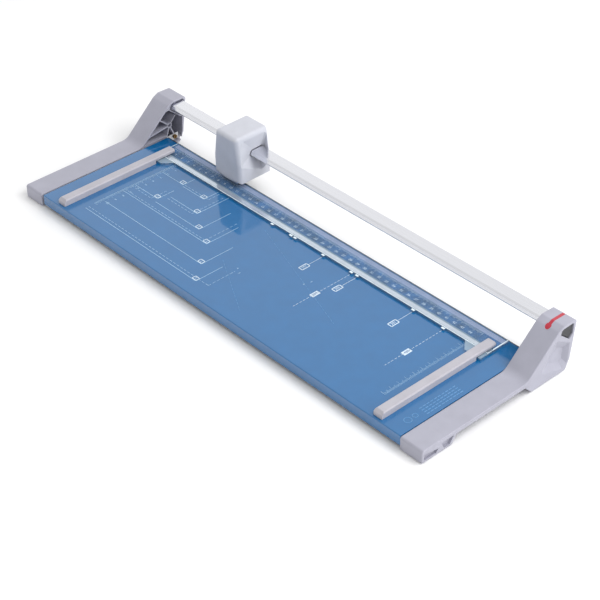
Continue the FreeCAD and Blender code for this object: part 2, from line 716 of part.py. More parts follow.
rail = new_body("guide_rail")
rail_end = f"({outer_face} - rail_end_gap - plug_cap)"
rail_sketch = sketch_on(rail, "YZ", f"-{rail_end}")
outline(rail_sketch, RAIL)
pad(rail, rail_sketch, f"2 * {rail_end}")
round_edges(rail, "rail_round", along_x([RAIL[0], RAIL[5], RAIL[6]]))
rail_sketch = sketch_on(rail, "YZ", f"-{rail_end}")
outline(rail_sketch, rail_outline("-rail_wall"))
pocket(rail, rail_sketch, f"2 * {rail_end}")
for side in (-1, 1):
    rail_sketch = sketch_on(rail, "XY", "rail_keel_z - 1")
    circle(rail_sketch, f"({side}) * {rail_screw_x}", rail_screw_y, "screw_radius + fit")
    pocket(rail, rail_sketch, "7")
node("guide_rail", rail)

for side, word in ((-1, "left"), (1, "right")):
    plug = new_body(f"{word}_rail_plug")
    plug_sketch = sketch_on(plug, "YZ", f"({side}) * {rail_end}")
    outline(plug_sketch, rail_outline("-(rail_wall + fit)"))
    pad(plug, plug_sketch, "plug_length", toward=-side)
    plug_sketch = sketch_on(plug, "YZ", f"({side}) * {rail_end}")
    outline(plug_sketch, RAIL)
    pad(plug, plug_sketch, "plug_cap", toward=side)
    round_edges(plug, "rail_wall * 0.6", in_plane("X", [f"({side}) * ({rail_end} + plug_cap)"]))
    plug_sketch = sketch_on(plug, "XY", "rail_keel_z")
    circle(plug_sketch, f"({side}) * {rail_screw_x}", rail_screw_y, "screw_radius + fit")
    pocket(plug, plug_sketch, "9")
    node(f"{word}_rail_plug", plug)

rail_screws = []
for side, word in ((-1, "left"), (1, "right")):
    base = (f"({side}) * {rail_screw_x}", rail_screw_y, rail_screw_seat)
    rail_screws.append(screw(f"{word}_rail_screw", base, "+Z", "9.5"))
node("rail_screws", group("rail_screws", rail_screws))


# ---------------------------------------------------------------- Table

table_left = f"(-({inner_face} - table_gap_left))"
table_right = f"({inner_face} - table_gap)"
TABLE_ENDS = {-1: table_left, 1: table_right}
sheet_under = "(table_top - table_sheet)"

table = new_body("base_table")
table_sketch = sketch_on(table, "XY", sheet_under)
rectangle(table_sketch, table_left, "table_front", table_right, "cut_edge")
pad(table, table_sketch, "table_sheet")
table_sketch = sketch_on(table, "XZ", "table_front")
rectangle(table_sketch, table_left, "table_lip_bottom", table_right, plus(sheet_under, "0.1"))
pad(table, table_sketch, "table_sheet")
table_sketch = sketch_on(table, "XZ", "cut_edge")
rectangle(table_sketch, table_left, "flange_bottom", table_right, plus(sheet_under, "0.1"))
pad(table, table_sketch, "table_sheet", toward=-1)
for side in (-1, 1):
    table_sketch = sketch_on(table, "YZ", TABLE_ENDS[side])
    for middle in ("tab_front_y", "tab_rear_y"):
        rectangle(
            table_sketch, f"{middle} - tab_length / 2", "flange_bottom",
            f"{middle} + tab_length / 2", plus(sheet_under, "0.1"),
        )
    pad(table, table_sketch, "table_sheet", toward=-side)
round_edges(table, "bend_round", along_x([("table_front", "table_top")]))
for side in (-1, 1):
    table_sketch = sketch_on(table, "YZ", TABLE_ENDS[side])
    for middle in ("tab_front_y", "tab_rear_y"):
        circle(table_sketch, middle, "tab_screw_z", "screw_radius + fit")
    pocket(table, table_sketch, "table_sheet", toward=-side)
    table_sketch = sketch_on(table, "XY", "table_top")
    for y in ("bar_screw_y", "bar_screw_y + bar_screw_pitch"):
        circle(table_sketch, f"({side}) * (bar_inner + bar_width / 2)", y, "screw_radius + fit")
    pocket(table, table_sketch, "table_sheet", toward=-1)
COUNTER_SCREWS = [f"({i}) * counter_screw_pitch" for i in (-2, -1, 0, 1, 2)]
table_sketch = sketch_on(table, "XZ", "cut_edge")
for x in COUNTER_SCREWS:
    circle(table_sketch, x, "counter_screw_z", "screw_radius + fit")
pocket(table, table_sketch, "table_sheet", toward=-1)
node("base_table", table)

table_screws = []
for side, word in ((-1, "left"), (1, "right")):
    for middle, end in (("tab_front_y", "front"), ("tab_rear_y", "rear")):
        base = (f"{TABLE_ENDS[side]} - ({side}) * table_sheet", middle, "tab_screw_z")
        axis = "+X" if side > 0 else "-X"
        gap = "table_gap_left" if side < 0 else "table_gap"
        table_screws.append(screw(f"{word}_{end}_table_screw", base, axis, f"table_screw_length + {gap}"))
node("table_screws", group("table_screws", table_screws))

for place, word in (("stiffener_front_y", "front"), ("stiffener_rear_y", "rear")):
    channel = new_body(f"{word}_stiffener")
    channel_sketch = sketch_on(channel, "YZ", "-stiffener_half_length")
    half = "stiffener_width / 2"
    low = f"({sheet_under} - stiffener_height)"
    outline(channel_sketch, [
        (f"{place} - {half}", sheet_under),
        (f"{place} - {half}", low),
        (f"{place} + {half}", low),
        (f"{place} + {half}", sheet_under),
        (f"{place} + {half} - 1", sheet_under),
        (f"{place} + {half} - 1", f"{low} + 1"),
        (f"{place} - {half} + 1", f"{low} + 1"),
        (f"{place} - {half} + 1", sheet_under),
    ])
    pad(channel, channel_sketch, "2 * stiffener_half_length")
    node(f"{word}_stiffener", channel)

counter = new_body("counter_blade")
counter_sketch = sketch_on(counter, "XZ", "cut_edge")
rectangle(counter_sketch, table_left, "counter_bottom", table_right, "table_top")
pad(counter, counter_sketch, "counter_thickness")
counter_sketch = sketch_on(counter, "XZ", "cut_edge")
for x in COUNTER_SCREWS:
    circle(counter_sketch, x, "counter_screw_z", "screw_radius + fit")
pocket(counter, counter_sketch, "counter_thickness")
node("counter_blade", counter)

cut_plane = "(cut_edge + counter_thickness)"
counter_screws = [
    screw(f"counter_screw_{i}", (x, cut_plane, "counter_screw_z"), "-Y", "counter_screw_length")
    for i, x in enumerate(COUNTER_SCREWS, start=1)
]
node("counter_blade_screws", group("counter_blade_screws", counter_screws))

# Clip behind each end of the counter blade, held in the tower by a brass screw.
clip_face = f"({inner_face} + clip_inset)"
clips = []
clip_screws = []
for side, word in ((-1, "left"), (1, "right")):
    clip = new_body(f"{word}_blade_clip")
    clip_sketch = sketch_on(clip, "YZ", f"({side}) * ({clip_face})")
    outline(clip_sketch, [
        (cut_plane, "counter_bottom"),
        (cut_plane, "clip_top"),
        ("clip_boss_y - 3", "clip_top + 1"),
        ("clip_boss_y + 5", "clip_top + 1"),
        ("clip_boss_y + 5", "clip_boss_z - 3.4"),
        ("clip_boss_y - 3", "counter_bottom"),
    ])
    pad(clip, clip_sketch, "clip_sheet", toward=-side)
    clip_sketch = sketch_on(clip, "XZ", cut_plane)
    rectangle(
        clip_sketch, f"({side}) * ({inner_face} - clip_reach)", "counter_bottom",
        f"({side}) * ({clip_face})", "clip_top",
    )
    pad(clip, clip_sketch, "clip_sheet")
    clip_sketch = sketch_on(clip, "YZ", f"({side}) * ({clip_face})")
    circle(clip_sketch, "clip_boss_y", "clip_boss_z", "screw_radius + fit")
    pocket(clip, clip_sketch, "clip_sheet", toward=-side)
    clips.append(clip)
    base = (f"({side}) * ({clip_face} - clip_sheet)", "clip_boss_y", "clip_boss_z")
    axis = "+X" if side > 0 else "-X"
    clip_screws.append(screw(f"{word}_clip_screw", base, axis, "9"))
node("blade_end_clips", group("blade_end_clips", clips))
node("brass_clip_screws", group("brass_clip_screws", clip_screws))


# ---------------------------------------------------------------- Side guides

def side_guide(label, side):
    guide = new_body(label)
    inner = f"({side}) * bar_inner"
    sketch = sketch_on(guide, "YZ", inner)
    outline(sketch, [
        ("bar_front", "table_top"),
        ("bar_front", "table_top + bar_height - 3"),
        ("bar_front + 3", "table_top + bar_height"),
        ("bar_back", "table_top + bar_height"),
        ("bar_back", "table_top + bar_bridge"),
        ("bar_step", "table_top + bar_bridge"),
        ("bar_step", "table_top"),
    ])
    pad(guide, sketch, "bar_width", toward=side)
    top = number_of("table_top + bar_height")

    def top_edges(edge):
        box = edge.BoundBox
        return abs(box.ZMin - top) < 0.01 and abs(box.ZMax - top) < 0.01 and box.YLength > 1

    round_edges(guide, "bar_chamfer", top_edges, kind="Chamfer")
    sketch = sketch_on(guide, "XY", "table_top")
    for y in ("bar_screw_y", "bar_screw_y + bar_screw_pitch"):
        circle(sketch, f"({side}) * (bar_inner + bar_width / 2)", y, "screw_radius + fit")
    pocket(guide, sketch, "bar_screw_length - table_sheet + 0.3", toward=1)
    return guide


guide_screws = []
for side, word in ((-1, "left"), (1, "right")):
    node(f"{word}_alignment_bar", side_guide(f"{word}_alignment_bar", side))
    for y, end in (("bar_screw_y", "front"), ("bar_screw_y + bar_screw_pitch", "rear")):
        base = (f"({side}) * (bar_inner + bar_width / 2)", y, sheet_under)
        guide_screws.append(screw(f"{word}_{end}_bar_screw", base, "+Z", "bar_screw_length"))
node("bar_screws", group("bar_screws", guide_screws))


# ---------------------------------------------------------------- Clear strip and its springs

strip_bottom = "(table_top + paper_gap)"
strip = new_body("clear_strip")
strip_sketch = sketch_on(strip, "XY", strip_bottom)
front_corners = []
for mark in NIB_MARKS:
    start = f"{mark} - scale_zero - nib_width / 2"
    end = f"{mark} - scale_zero + nib_width / 2"
    front_corners.append((start, end))
edge_points = [
    ("-strip_half_length", "strip_back"),
    ("-strip_half_length", "strip_lug_front"),
    ("-strip_lug_inner", "strip_lug_front"),
    ("-strip_lug_root", "strip_front"),
    ("strip_lug_root", "strip_front"),
    ("strip_lug_inner", "strip_lug_front"),
    ("strip_half_length", "strip_lug_front"),
    ("strip_half_length", "strip_back"),
]
outline(strip_sketch, edge_points)
pad(strip, strip_sketch, "strip_thickness")
round_edges(strip, "strip_round", along_x([("strip_front", plus(strip_bottom, "strip_thickness"))]))
for start, end in front_corners:
    nib_sketch = sketch_on(strip, "XY", strip_bottom)
    rectangle(nib_sketch, start, "strip_front - nib_depth", end, "strip_front + strip_round + 0.2")
    pad(strip, nib_sketch, "strip_thickness - strip_round")
node("clear_strip", strip)

leaves = []
for side, word in ((-1, "left"), (1, "right")):
    leaf = new_body(f"{word}_strip_leaf")
    leaf_sketch = sketch_on(leaf, "YZ", f"({side}) * (bar_inner + bar_width / 2) - leaf_width / 2")
    tip_top = "table_top + paper_gap"
    outline(leaf_sketch, [
        ("leaf_front", "table_top"),
        ("leaf_bend", "table_top"),
        ("leaf_back", f"{tip_top} - leaf_sheet"),
        ("leaf_back", tip_top),
        ("leaf_bend", "table_top + leaf_sheet"),
        ("leaf_front", "table_top + leaf_sheet"),
    ])
    pad(leaf, leaf_sketch, "leaf_width")
    leaves.append(leaf)
node("strip_leaf_springs", group("strip_leaf_springs", leaves))


# ---------------------------------------------------------------- Cutting head

def head_form(body, inset="0", front="head_front", back="head_back"):
    """The head's front outline, inset all round, from the front plane to the back plane."""
    sketch = sketch_on(body, "XZ", front)
    middle = "head_rest_x"
    half = f"(head_half_width - ({inset}))"
    top_half = f"(head_top_half_width - ({inset}))"
    low = f"(head_side_bottom + ({inset}))"
    corners = [
        (f"{middle} - {half}", low),
        (f"{middle} - {half}", "head_flank_z"),
        (f"{middle} - {top_half}", f"head_top - ({inset})"),
        (f"{middle} + {top_half}", f"head_top - ({inset})"),
        (f"{middle} + {half}", "head_flank_z"),
        (f"{middle} + {half}", low),
    ]
    points = [V(number_of(x), number_of(z), 0) for x, z in corners]
    for start, end in zip(points, points[1:]):
        sketch.addGeometry(Part.LineSegment(start, end), False)
    belly = V(number_of(middle), number_of(f"head_belly + ({inset})"), 0)
    arc = sketch.addGeometry(Part.Arc(points[0], belly, points[-1]), False)
    last = len(points) - 2
    for i in range(last):
        sketch.addConstraint(Sketcher.Constraint("Coincident", i, 2, i + 1, 1))
    sketch.addConstraint(Sketcher.Constraint("Coincident", arc, 1, 0, 1))
    sketch.addConstraint(Sketcher.Constraint("Coincident", arc, 2, last, 2))
    for i, (x, z) in enumerate(corners[:-1]):
        bind_point(sketch, i, 1, x, z)
    bind_point(sketch, last, 2, *corners[-1])
    sag = f"({low} - head_belly - ({inset}))"
    radius = f"(({half}) ^ 2 + {sag} ^ 2) / (2 * {sag})"
    size = sketch.addConstraint(Sketcher.Constraint("Radius", arc, number_of(radius)))
    sketch.setExpression(f"Constraints[{size}]", bound(radius))
    pad(body, sketch, f"({back}) - ({front})")


# Outline of the hollow at the flank, corner for corner with the rail's outline: place, and which way it grows.
FUNNEL = [
    ("funnel_front", "funnel_low_front", -1, -1),
    ("funnel_front_top", "funnel_top - 9", -1, 1),
    ("funnel_front_top", "funnel_top", -1, 1),
    ("funnel_back - 2.8", "funnel_top", 1, 1),
    ("funnel_back", "funnel_top - 5", 1, 1),
    ("funnel_back", "funnel_low_back", 1, -1),
    ("funnel_back - 10", "funnel_low_middle", 0, -1),
]


def funnel(body, side, grow="0"):
    """Hollows one side towards the rail; grow makes the hollow larger by a wall."""
    mouth = sketch_on(body, "YZ", f"head_rest_x + ({side}) * (head_half_width + 0.5)")
    outline(mouth, [(f"{y} + ({ty}) * ({grow})", f"{z} + ({tz}) * ({grow})") for y, z, ty, tz in FUNNEL])
    bottom = sketch_on(body, "YZ", f"head_rest_x + ({side}) * (head_half_width - funnel_depth - ({grow}))")
    outline(bottom, rail_outline(f"(funnel_gap + ({grow}))"))
    hollow(body, mouth, bottom)


def along_y_top(edge, longer_than=10):
    box = edge.BoundBox
    return box.YLength > longer_than and box.XLength < 0.1 and box.ZMin > number_of("head_flank_z") - 0.1


shell = new_body("head_form")
head_form(shell)
round_edges(shell, "head_round", lambda e: along_y_top(e) and e.BoundBox.ZMin > number_of("head_top") - 1)
round_edges(shell, "head_front_round", in_plane("Y", ["head_front"]))
round_edges(shell, "head_edge_round", in_plane("Y", ["head_back"]))
for side in (-1, 1):
    funnel(shell, side)

core = new_body("head_core")
head_form(core, "head_wall", "head_front + head_wall", "head_back + 1")
round_edges(
    core, "head_round - head_wall",
    lambda e: along_y_top(e) and e.BoundBox.ZMin > number_of("head_top") - 4,
)
for side in (-1, 1):
    funnel(core, side, "funnel_wall")

core_slot = block(
    "head_slot",
    ("head_rest_x - head_top_half_width", "head_front + head_wall", "0"),
    ("head_rest_x + head_top_half_width", "head_back - back_cover_thickness", "head_side_bottom + head_wall"),
)
rail_hole = new_body("rail_hole")
hole_sketch = sketch_on(rail_hole, "YZ", "head_rest_x - head_half_width - 2")
outline(hole_sketch, rail_outline("head_rail_gap"))
pad(rail_hole, hole_sketch, "2 * head_half_width + 4")

shell_tool = fused("shell_tool", [core, core_slot, rail_hole])
node("head_shell", cut("head_shell", shell, shell_tool))

back_cover = new_body("head_back_cover")
cover_front = "(head_back - back_cover_thickness)"
head_form(back_cover, "head_wall + fit", cover_front, "head_back")
for side in (-1, 1):
    funnel(back_cover, side, "funnel_wall + fit")
round_edges(
    back_cover, "head_round - head_wall - fit",
    lambda e: along_y_top(e, 1) and e.BoundBox.ZMin > number_of("head_top") - 4,
)
blade_z = "(table_top + blade_radius - blade_bite)"
HEAD_SCREWS = [
    ("head_rest_x", blade_z),
    ("head_rest_x - 5", "(rail_top_z + block_rail_gap + block_top) / 2"),
    ("head_rest_x + 5", "(rail_top_z + block_rail_gap + block_top) / 2"),
]
for radius, depth in (
    ("screw_head + 0.2", "cover_screw_head + 0.1"),
    ("screw_radius + fit", "back_cover_thickness"),
):
    cover_sketch = sketch_on(back_cover, "XZ", "head_back")
    for x, z in HEAD_SCREWS:
        circle(cover_sketch, x, z, radius)
    pocket(back_cover, cover_sketch, depth, toward=-1)
node("head_back_cover", back_cover)

# Along the blade's axis: blade, hub, holder and slide block follow one another from the cut plane.
blade_front = f"({cut_plane} + blade_side_fit)"
blade_back = f"({blade_front} + blade_thickness)"
flange_front = f"({blade_back} + hub_back + side_play)"
flange_back = f"({flange_front} + holder_flange_height)"
block_front = f"({flange_back} + holder_gap)"
hub_face = f"({blade_front} - hub_front)"

slide_block = new_body("slide_block")
block_sketch = sketch_on(slide_block, "YZ", "head_rest_x - block_half_length")
rectangle(block_sketch, block_front, "block_bottom", cover_front, "block_top")
pad(slide_block, block_sketch, "2 * block_half_length")
block_sketch = sketch_on(slide_block, "YZ", "head_rest_x - block_half_length")
outline(block_sketch, rail_outline("block_rail_gap"))
pocket(slide_block, block_sketch, "2 * block_half_length")
block_sketch = sketch_on(slide_block, "XZ", block_front)
circle(block_sketch, "head_rest_x", blade_z, "holder_stem + holder_fit")
pocket(slide_block, block_sketch, "holder_bore")
block_sketch = sketch_on(slide_block, "XZ", cover_front)
for x, z in HEAD_SCREWS:
    circle(block_sketch, x, z, "screw_radius + fit")
pocket(slide_block, block_sketch, "7", toward=-1)
node("slide_block", slide_block)

head_screws = [
    screw(
        f"head_screw_{i}", (x, "head_back - cover_screw_head - 0.1", z), "-Y", "6.5",
        ("screw_head", "cover_screw_head"),
    )
    for i, (x, z) in enumerate(HEAD_SCREWS, start=1)
]
node("head_screws", group("head_screws", head_screws))

for side, word in ((-1, "left"), (1, "right")):
    bush = new_body(f"{word}_glide_bush")
    bush_start = f"head_rest_x + ({side}) * block_half_length"
    bush_sketch = sketch_on(bush, "YZ", bush_start)
    outline(bush_sketch, rail_outline("bush_fit + bush_rim"))
    pad(bush, bush_sketch, "bush_thickness", toward=side)
    bush_sketch = sketch_on(bush, "YZ", bush_start)
    outline(bush_sketch, rail_outline("bush_fit"))
    pocket(bush, bush_sketch, "bush_thickness", toward=side)
    node(f"{word}_glide_bush", bush)


# ---------------------------------------------------------------- Blade and its holder

holder_flange = cylinder(
    "holder_flange_disc", "holder_flange", "holder_flange_height", ("head_rest_x", flange_front, blade_z), "+Y"
)
holder_stem = cylinder(
    "holder_stem_pin", "holder_stem", "holder_stem_length", ("head_rest_x", flange_back, blade_z), "+Y"
)
holder_hole = cylinder(
    "holder_hole", "axle_radius", "holder_flange_height + axle_seat", ("head_rest_x", flange_front, blade_z), "+Y"
)
node("blade_holder", cut("blade_holder", fused("holder_blank", [holder_flange, holder_stem]), holder_hole))

axle_length = f"({flange_back} + axle_seat - {hub_face} + side_play)"
axle_base = ("head_rest_x", f"{hub_face} - side_play", blade_z)
node("blade_axle", screw("blade_axle", axle_base, "+Y", axle_length, ("hub_tube", "1.4"), "axle_radius"))

# The disc tapers away from its flat front face, so its sharp edge lies on the cut plane.
blade_disc = doc.addObject("Part::Cone", "blade_disc")
for name, text in (
    ("Radius1", "blade_radius"), ("Radius2", "blade_radius - blade_bevel"), ("Height", "blade_thickness"),
    ("Placement.Base.x", "head_rest_x"), ("Placement.Base.y", blade_front), ("Placement.Base.z", blade_z),
):
    blade_disc.setExpression(name, bound(text))
blade_disc.Placement.Rotation = FreeCAD.Rotation(V(1, 0, 0), -90)
blade_eye = cylinder("blade_eye", "hub_tube", "blade_thickness", ("head_rest_x", blade_front, blade_z), "+Y")
node("rotary_blade", cut("rotary_blade", blade_disc, blade_eye))

hub_disc = cylinder("hub_disc", "hub_radius", "hub_back", ("head_rest_x", blade_back, blade_z), "+Y")
hub_pipe = cylinder(
    "hub_pipe", "hub_tube", "hub_front + blade_thickness", ("head_rest_x", hub_face, blade_z), "+Y"
)
hub_hole = cylinder(
    "hub_hole", "axle_radius + axle_fit", "hub_front + blade_thickness + hub_back",
    ("head_rest_x", hub_face, blade_z), "+Y",
)
node("blade_hub", cut("blade_hub", fused("hub_blank", [hub_disc, hub_pipe]), hub_hole))
ring_disc = cylinder("ring_disc", "hub_radius", "hub_front", ("head_rest_x", hub_face, blade_z), "+Y")
ring_hole = cylinder("ring_hole", "hub_tube", "hub_front", ("head_rest_x", hub_face, blade_z), "+Y")
node("hub_ring", cut("hub_ring", ring_disc, ring_hole))

# Compression spring between the stem and the end of its bore.
coils = 4
spring_start = number_of(f"{flange_back} + holder_stem_length + spring_wire / 2")
spring_end = number_of(f"{block_front} + holder_bore - spring_wire / 2")
wire_radius = number_of("spring_wire / 2")
helix = Part.makeHelix((spring_end - spring_start) / coils, spring_end - spring_start, number_of("spring_radius"))
section = Part.Wire(Part.makeCircle(wire_radius, V(number_of("spring_radius"), 0, 0), V(0, 1, 0)))
coil = Part.Wire(helix).makePipeShell([section], True, True)
spring = doc.addObject("Part::Feature", "blade_spring")
spring.Shape = coil
spring.Placement = FreeCAD.Placement(
    V(number_of("head_rest_x"), spring_start, number_of(blade_z)), FreeCAD.Rotation(V(1, 0, 0), -90)
)
node("blade_spring", spring)


# ---------------------------------------------------------------- Press rollers

roller_z = f"({strip_bottom} + strip_thickness + roller_gap + roller_radius)"
inner_wall = "(head_front + head_wall)"
roller_axles = []
for side, word in ((-1, "left"), (1, "right")):
    x = f"head_rest_x + ({side}) * roller_side"
    tread = cylinder(f"{word}_roller_disc", "roller_radius", "roller_width", (x, "roller_front", roller_z), "+Y")
    bore = cylinder(
        f"{word}_roller_bore", "roller_axle_radius + axle_fit", "roller_width", (x, "roller_front", roller_z), "+Y"
    )
    node(f"{word}_press_roller", cut(f"{word}_press_roller", tread, bore))
    collar = cylinder(
        f"{word}_axle_collar", "roller_collar", f"roller_front - side_play - {inner_wall}", (x, inner_wall, roller_z),
        "+Y",
    )
    pin = cylinder(
        f"{word}_axle_pin", "roller_axle_radius", f"roller_front + roller_width + side_play + 0.2 - {inner_wall}",
        (x, inner_wall, roller_z), "+Y",
    )
    end = cylinder(
        f"{word}_axle_end", "roller_collar", "roller_collar_height",
        (x, "roller_front + roller_width + side_play", roller_z), "+Y",
    )
    roller_axles.append(fused(f"{word}_roller_axle", [collar, pin, end]))
node("roller_axles", group("roller_axles", roller_axles))


# ---------------------------------------------------------------- Check and write

doc.recompute()
for thing in doc.Objects:
    if "Invalid" in thing.State or "Error" in thing.State:
        raise RuntimeError(f"{thing.Label}: {thing.State}")
labels = [piece.Label for piece in NODES]
if len(set(labels)) != len(labels):
    raise RuntimeError("two sub-parts share a label")
for piece in NODES:
    if piece.Shape.isNull() or not piece.Shape.isValid() or not piece.Shape.Solids:
        raise RuntimeError(f"{piece.Label}: no valid solid")

os.makedirs("parts", exist_ok=True)
whole = FreeCAD.BoundBox()
for piece in NODES:
    piece.Shape.exportStep(f"parts/{piece.Label}.step")
    whole.add(piece.Shape.BoundBox)
print(f"{len(NODES)} sub-parts, {whole.XLength:.2f} x {whole.YLength:.2f} x {whole.ZLength:.2f} mm")
print(f"x {whole.XMin:.2f} {whole.XMax:.2f}, y {whole.YMin:.2f} {whole.YMax:.2f}, z {whole.ZMin:.2f} {whole.ZMax:.2f}")
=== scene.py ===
# %% [markdown]
# # A rotary paper trimmer, finished in Blender
# The trimmer's metal and plastic pieces arrive already modelled, each as its own mesh in real metres.
# What is left is everything that makes them look real: the finishes, the printed table, the scale on the
# clear strip, the light and the camera. We start by loading the frame and keeping its box, because
# nothing that is added may make the trimmer larger.

# %% Load the frame
import bpy
import bmesh
import math
from mathutils import Matrix, Vector


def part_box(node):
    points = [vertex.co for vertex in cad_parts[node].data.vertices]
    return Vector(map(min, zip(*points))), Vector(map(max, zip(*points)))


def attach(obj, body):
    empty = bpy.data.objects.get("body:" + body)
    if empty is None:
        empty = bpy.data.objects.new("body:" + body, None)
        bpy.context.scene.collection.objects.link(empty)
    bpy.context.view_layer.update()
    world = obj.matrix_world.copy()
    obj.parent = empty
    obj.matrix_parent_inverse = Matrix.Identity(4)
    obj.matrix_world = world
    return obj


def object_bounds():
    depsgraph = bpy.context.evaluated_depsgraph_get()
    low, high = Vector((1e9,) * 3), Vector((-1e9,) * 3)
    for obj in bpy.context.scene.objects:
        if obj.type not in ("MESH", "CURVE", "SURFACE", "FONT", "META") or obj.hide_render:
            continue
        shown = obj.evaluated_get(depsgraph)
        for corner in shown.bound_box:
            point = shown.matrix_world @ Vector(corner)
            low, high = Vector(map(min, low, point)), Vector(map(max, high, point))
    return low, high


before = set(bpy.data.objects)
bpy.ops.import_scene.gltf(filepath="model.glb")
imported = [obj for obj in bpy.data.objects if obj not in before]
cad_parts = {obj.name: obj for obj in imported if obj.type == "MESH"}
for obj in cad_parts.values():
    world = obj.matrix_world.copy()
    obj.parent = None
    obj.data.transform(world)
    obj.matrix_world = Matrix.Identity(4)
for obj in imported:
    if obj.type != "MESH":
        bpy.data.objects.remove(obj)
cad_low, cad_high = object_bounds()
MM = 0.001
print("pieces:", len(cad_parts), "size mm:", [round((b - a) / MM, 1) for a, b in zip(cad_low, cad_high)])

# %% [markdown]
# ## Small tools
# The shaders need small tools that save typing. `finish` makes a material with a Principled shader, and
# `add_node` places a node and fills its sockets by name, so each finish below reads like its recipe.
# `surface_group` starts the two node groups, which take different inputs and put out the same three.

# %% Node tools
def finish(name, **sockets):
    """A new material; sockets are set on its Principled shader."""
    material = bpy.data.materials.new(name)
    material.use_nodes = True
    shader = material.node_tree.nodes["Principled BSDF"]
    for socket, value in sockets.items():
        shader.inputs[socket.replace("_", " ")].default_value = value
    return material, material.node_tree, shader


def plug_in(tree, plug, value):
    """Links another node's output to an input socket, or sets a plain value on it."""
    if isinstance(value, bpy.types.NodeSocket):
        tree.links.new(value, plug)
    else:
        plug.default_value = value


def add_node(tree, kind, settings=None, **sockets):
    """A node of the kind; settings are its own options, sockets its input values or links."""
    item = tree.nodes.new(kind)
    for key, value in (settings or {}).items():
        setattr(item, key, value)
    for socket, value in sockets.items():
        plug_in(tree, item.inputs[socket.replace("_", " ")], value)
    return item


def calculate(tree, operation, *values):
    """A Math node fed with numbers or links, in order; gives back its result."""
    item = add_node(tree, "ShaderNodeMath", {"operation": operation})
    for plug, value in zip(item.inputs, values):
        plug_in(tree, plug, value)
    return item.outputs[0]


def tinted(tree, tone, factor):
    """The tone made lighter or darker by a factor."""
    item = add_node(tree, "ShaderNodeVectorMath", {"operation": "SCALE"}, Scale=factor)
    tree.links.new(tone, item.inputs[0])
    return item.outputs["Vector"]


def relief(tree, shader, height, depth, edge):
    """Bump from a height; edge is how far sharp corners are rounded for the light."""
    bump = add_node(tree, "ShaderNodeBump", Strength=1.0, Distance=depth, Height=height)
    if edge:
        rounded = add_node(tree, "ShaderNodeBevel", {"samples": 4}, Radius=edge)
        tree.links.new(rounded.outputs["Normal"], bump.inputs["Normal"])
    tree.links.new(bump.outputs["Normal"], shader.inputs["Normal"])


def surface_group(name, inputs):
    """An empty group that takes the inputs and puts out a colour, a roughness and a height."""
    tree = bpy.data.node_groups.new(name, "ShaderNodeTree")
    for label, kind, value in inputs:
        tree.interface.new_socket(label, in_out="INPUT", socket_type=kind).default_value = value
    for label, kind in (
        ("Color", "NodeSocketColor"), ("Roughness", "NodeSocketFloat"), ("Height", "NodeSocketFloat"),
    ):
        tree.interface.new_socket(label, in_out="OUTPUT", socket_type=kind)
    given = tree.nodes.new("NodeGroupInput")
    result = tree.nodes.new("NodeGroupOutput")
    where = tree.nodes.new("ShaderNodeTexCoord").outputs["Object"]
    return tree, given, result, where


def colour(red, green, blue):
    """A screen colour, 0 to 255 in each channel, as the linear light that shaders use."""
    linear = [((c / 255 + 0.055) / 1.055) ** 2.4 if c > 10 else c / 255 / 12.92 for c in (red, green, blue)]
    return (*linear, 1.0)


def dress(material, *names):
    """Gives CAD pieces this material."""
    for name in names:
        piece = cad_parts[name]
        piece.data.materials.clear()
        piece.data.materials.append(material)
        for face in piece.data.polygons:
            face.material_index = 0


print("tools ready")

# %% [markdown]
# ## Grain that every moulded piece shares
# Office plastics come out of a mould whose walls were eroded by sparks, which leaves a fine, even grain.
# It could be modelled, but its bumps are under a tenth of a millimetre, so a shader is the right tool.
# Several finishes need it, so it is a node group: it puts out a slightly uneven colour, a roughness and
# a height, all from object coordinates in metres.

# %% Moulded grain group
CLOUDS_PER_METRE = 60.0


def grain_group():
    tree, given, result, where = surface_group("moulded_grain", (
        ("Color", "NodeSocketColor", (0.5, 0.5, 0.5, 1)), ("Grain Size", "NodeSocketFloat", 0.0004),
        ("Mottle", "NodeSocketFloat", 0.05), ("Roughness", "NodeSocketFloat", 0.5),
        ("Roughness Spread", "NodeSocketFloat", 0.08),
    ))
    scale = calculate(tree, "DIVIDE", 1.0, given.outputs["Grain Size"])
    pits = add_node(tree, "ShaderNodeTexNoise", Vector=where, Scale=scale, Detail=2.0, Roughness=0.6)
    clouds = add_node(
        tree, "ShaderNodeTexNoise", Vector=where, Scale=CLOUDS_PER_METRE, Detail=3.0, Roughness=0.55
    )
    low = calculate(tree, "SUBTRACT", 1.0, given.outputs["Mottle"])
    high = calculate(tree, "ADD", 1.0, given.outputs["Mottle"])
    shade = add_node(
        tree, "ShaderNodeMapRange", {"clamp": False}, Value=clouds.outputs["Fac"], From_Min=0.3, From_Max=0.7,
        To_Min=low, To_Max=high,
    )
    centred = calculate(tree, "SUBTRACT", clouds.outputs["Fac"], 0.5)
    rough = calculate(
        tree, "MULTIPLY_ADD", centred, given.outputs["Roughness Spread"], given.outputs["Roughness"]
    )
    tree.links.new(tinted(tree, given.outputs["Color"], shade.outputs["Result"]), result.inputs["Color"])
    tree.links.new(rough, result.inputs["Roughness"])
    tree.links.new(pits.outputs["Fac"], result.inputs["Height"])
    return tree


MOULDED_GRAIN = grain_group()


def grained(tree, shader, tone, size=0.0004, mottle=0.04, roughness=0.5, spread=0.1, depth=0.00002, edge=0.0):
    """Wires the grain group into a Principled shader; edge rounds sharp corners for the light."""
    grain = add_node(
        tree, "ShaderNodeGroup", {"node_tree": MOULDED_GRAIN}, Color=tone, Grain_Size=size, Mottle=mottle,
        Roughness=roughness, Roughness_Spread=spread,
    )
    tree.links.new(grain.outputs["Color"], shader.inputs["Base Color"])
    tree.links.new(grain.outputs["Roughness"], shader.inputs["Roughness"])
    relief(tree, shader, grain.outputs["Height"], depth, edge)


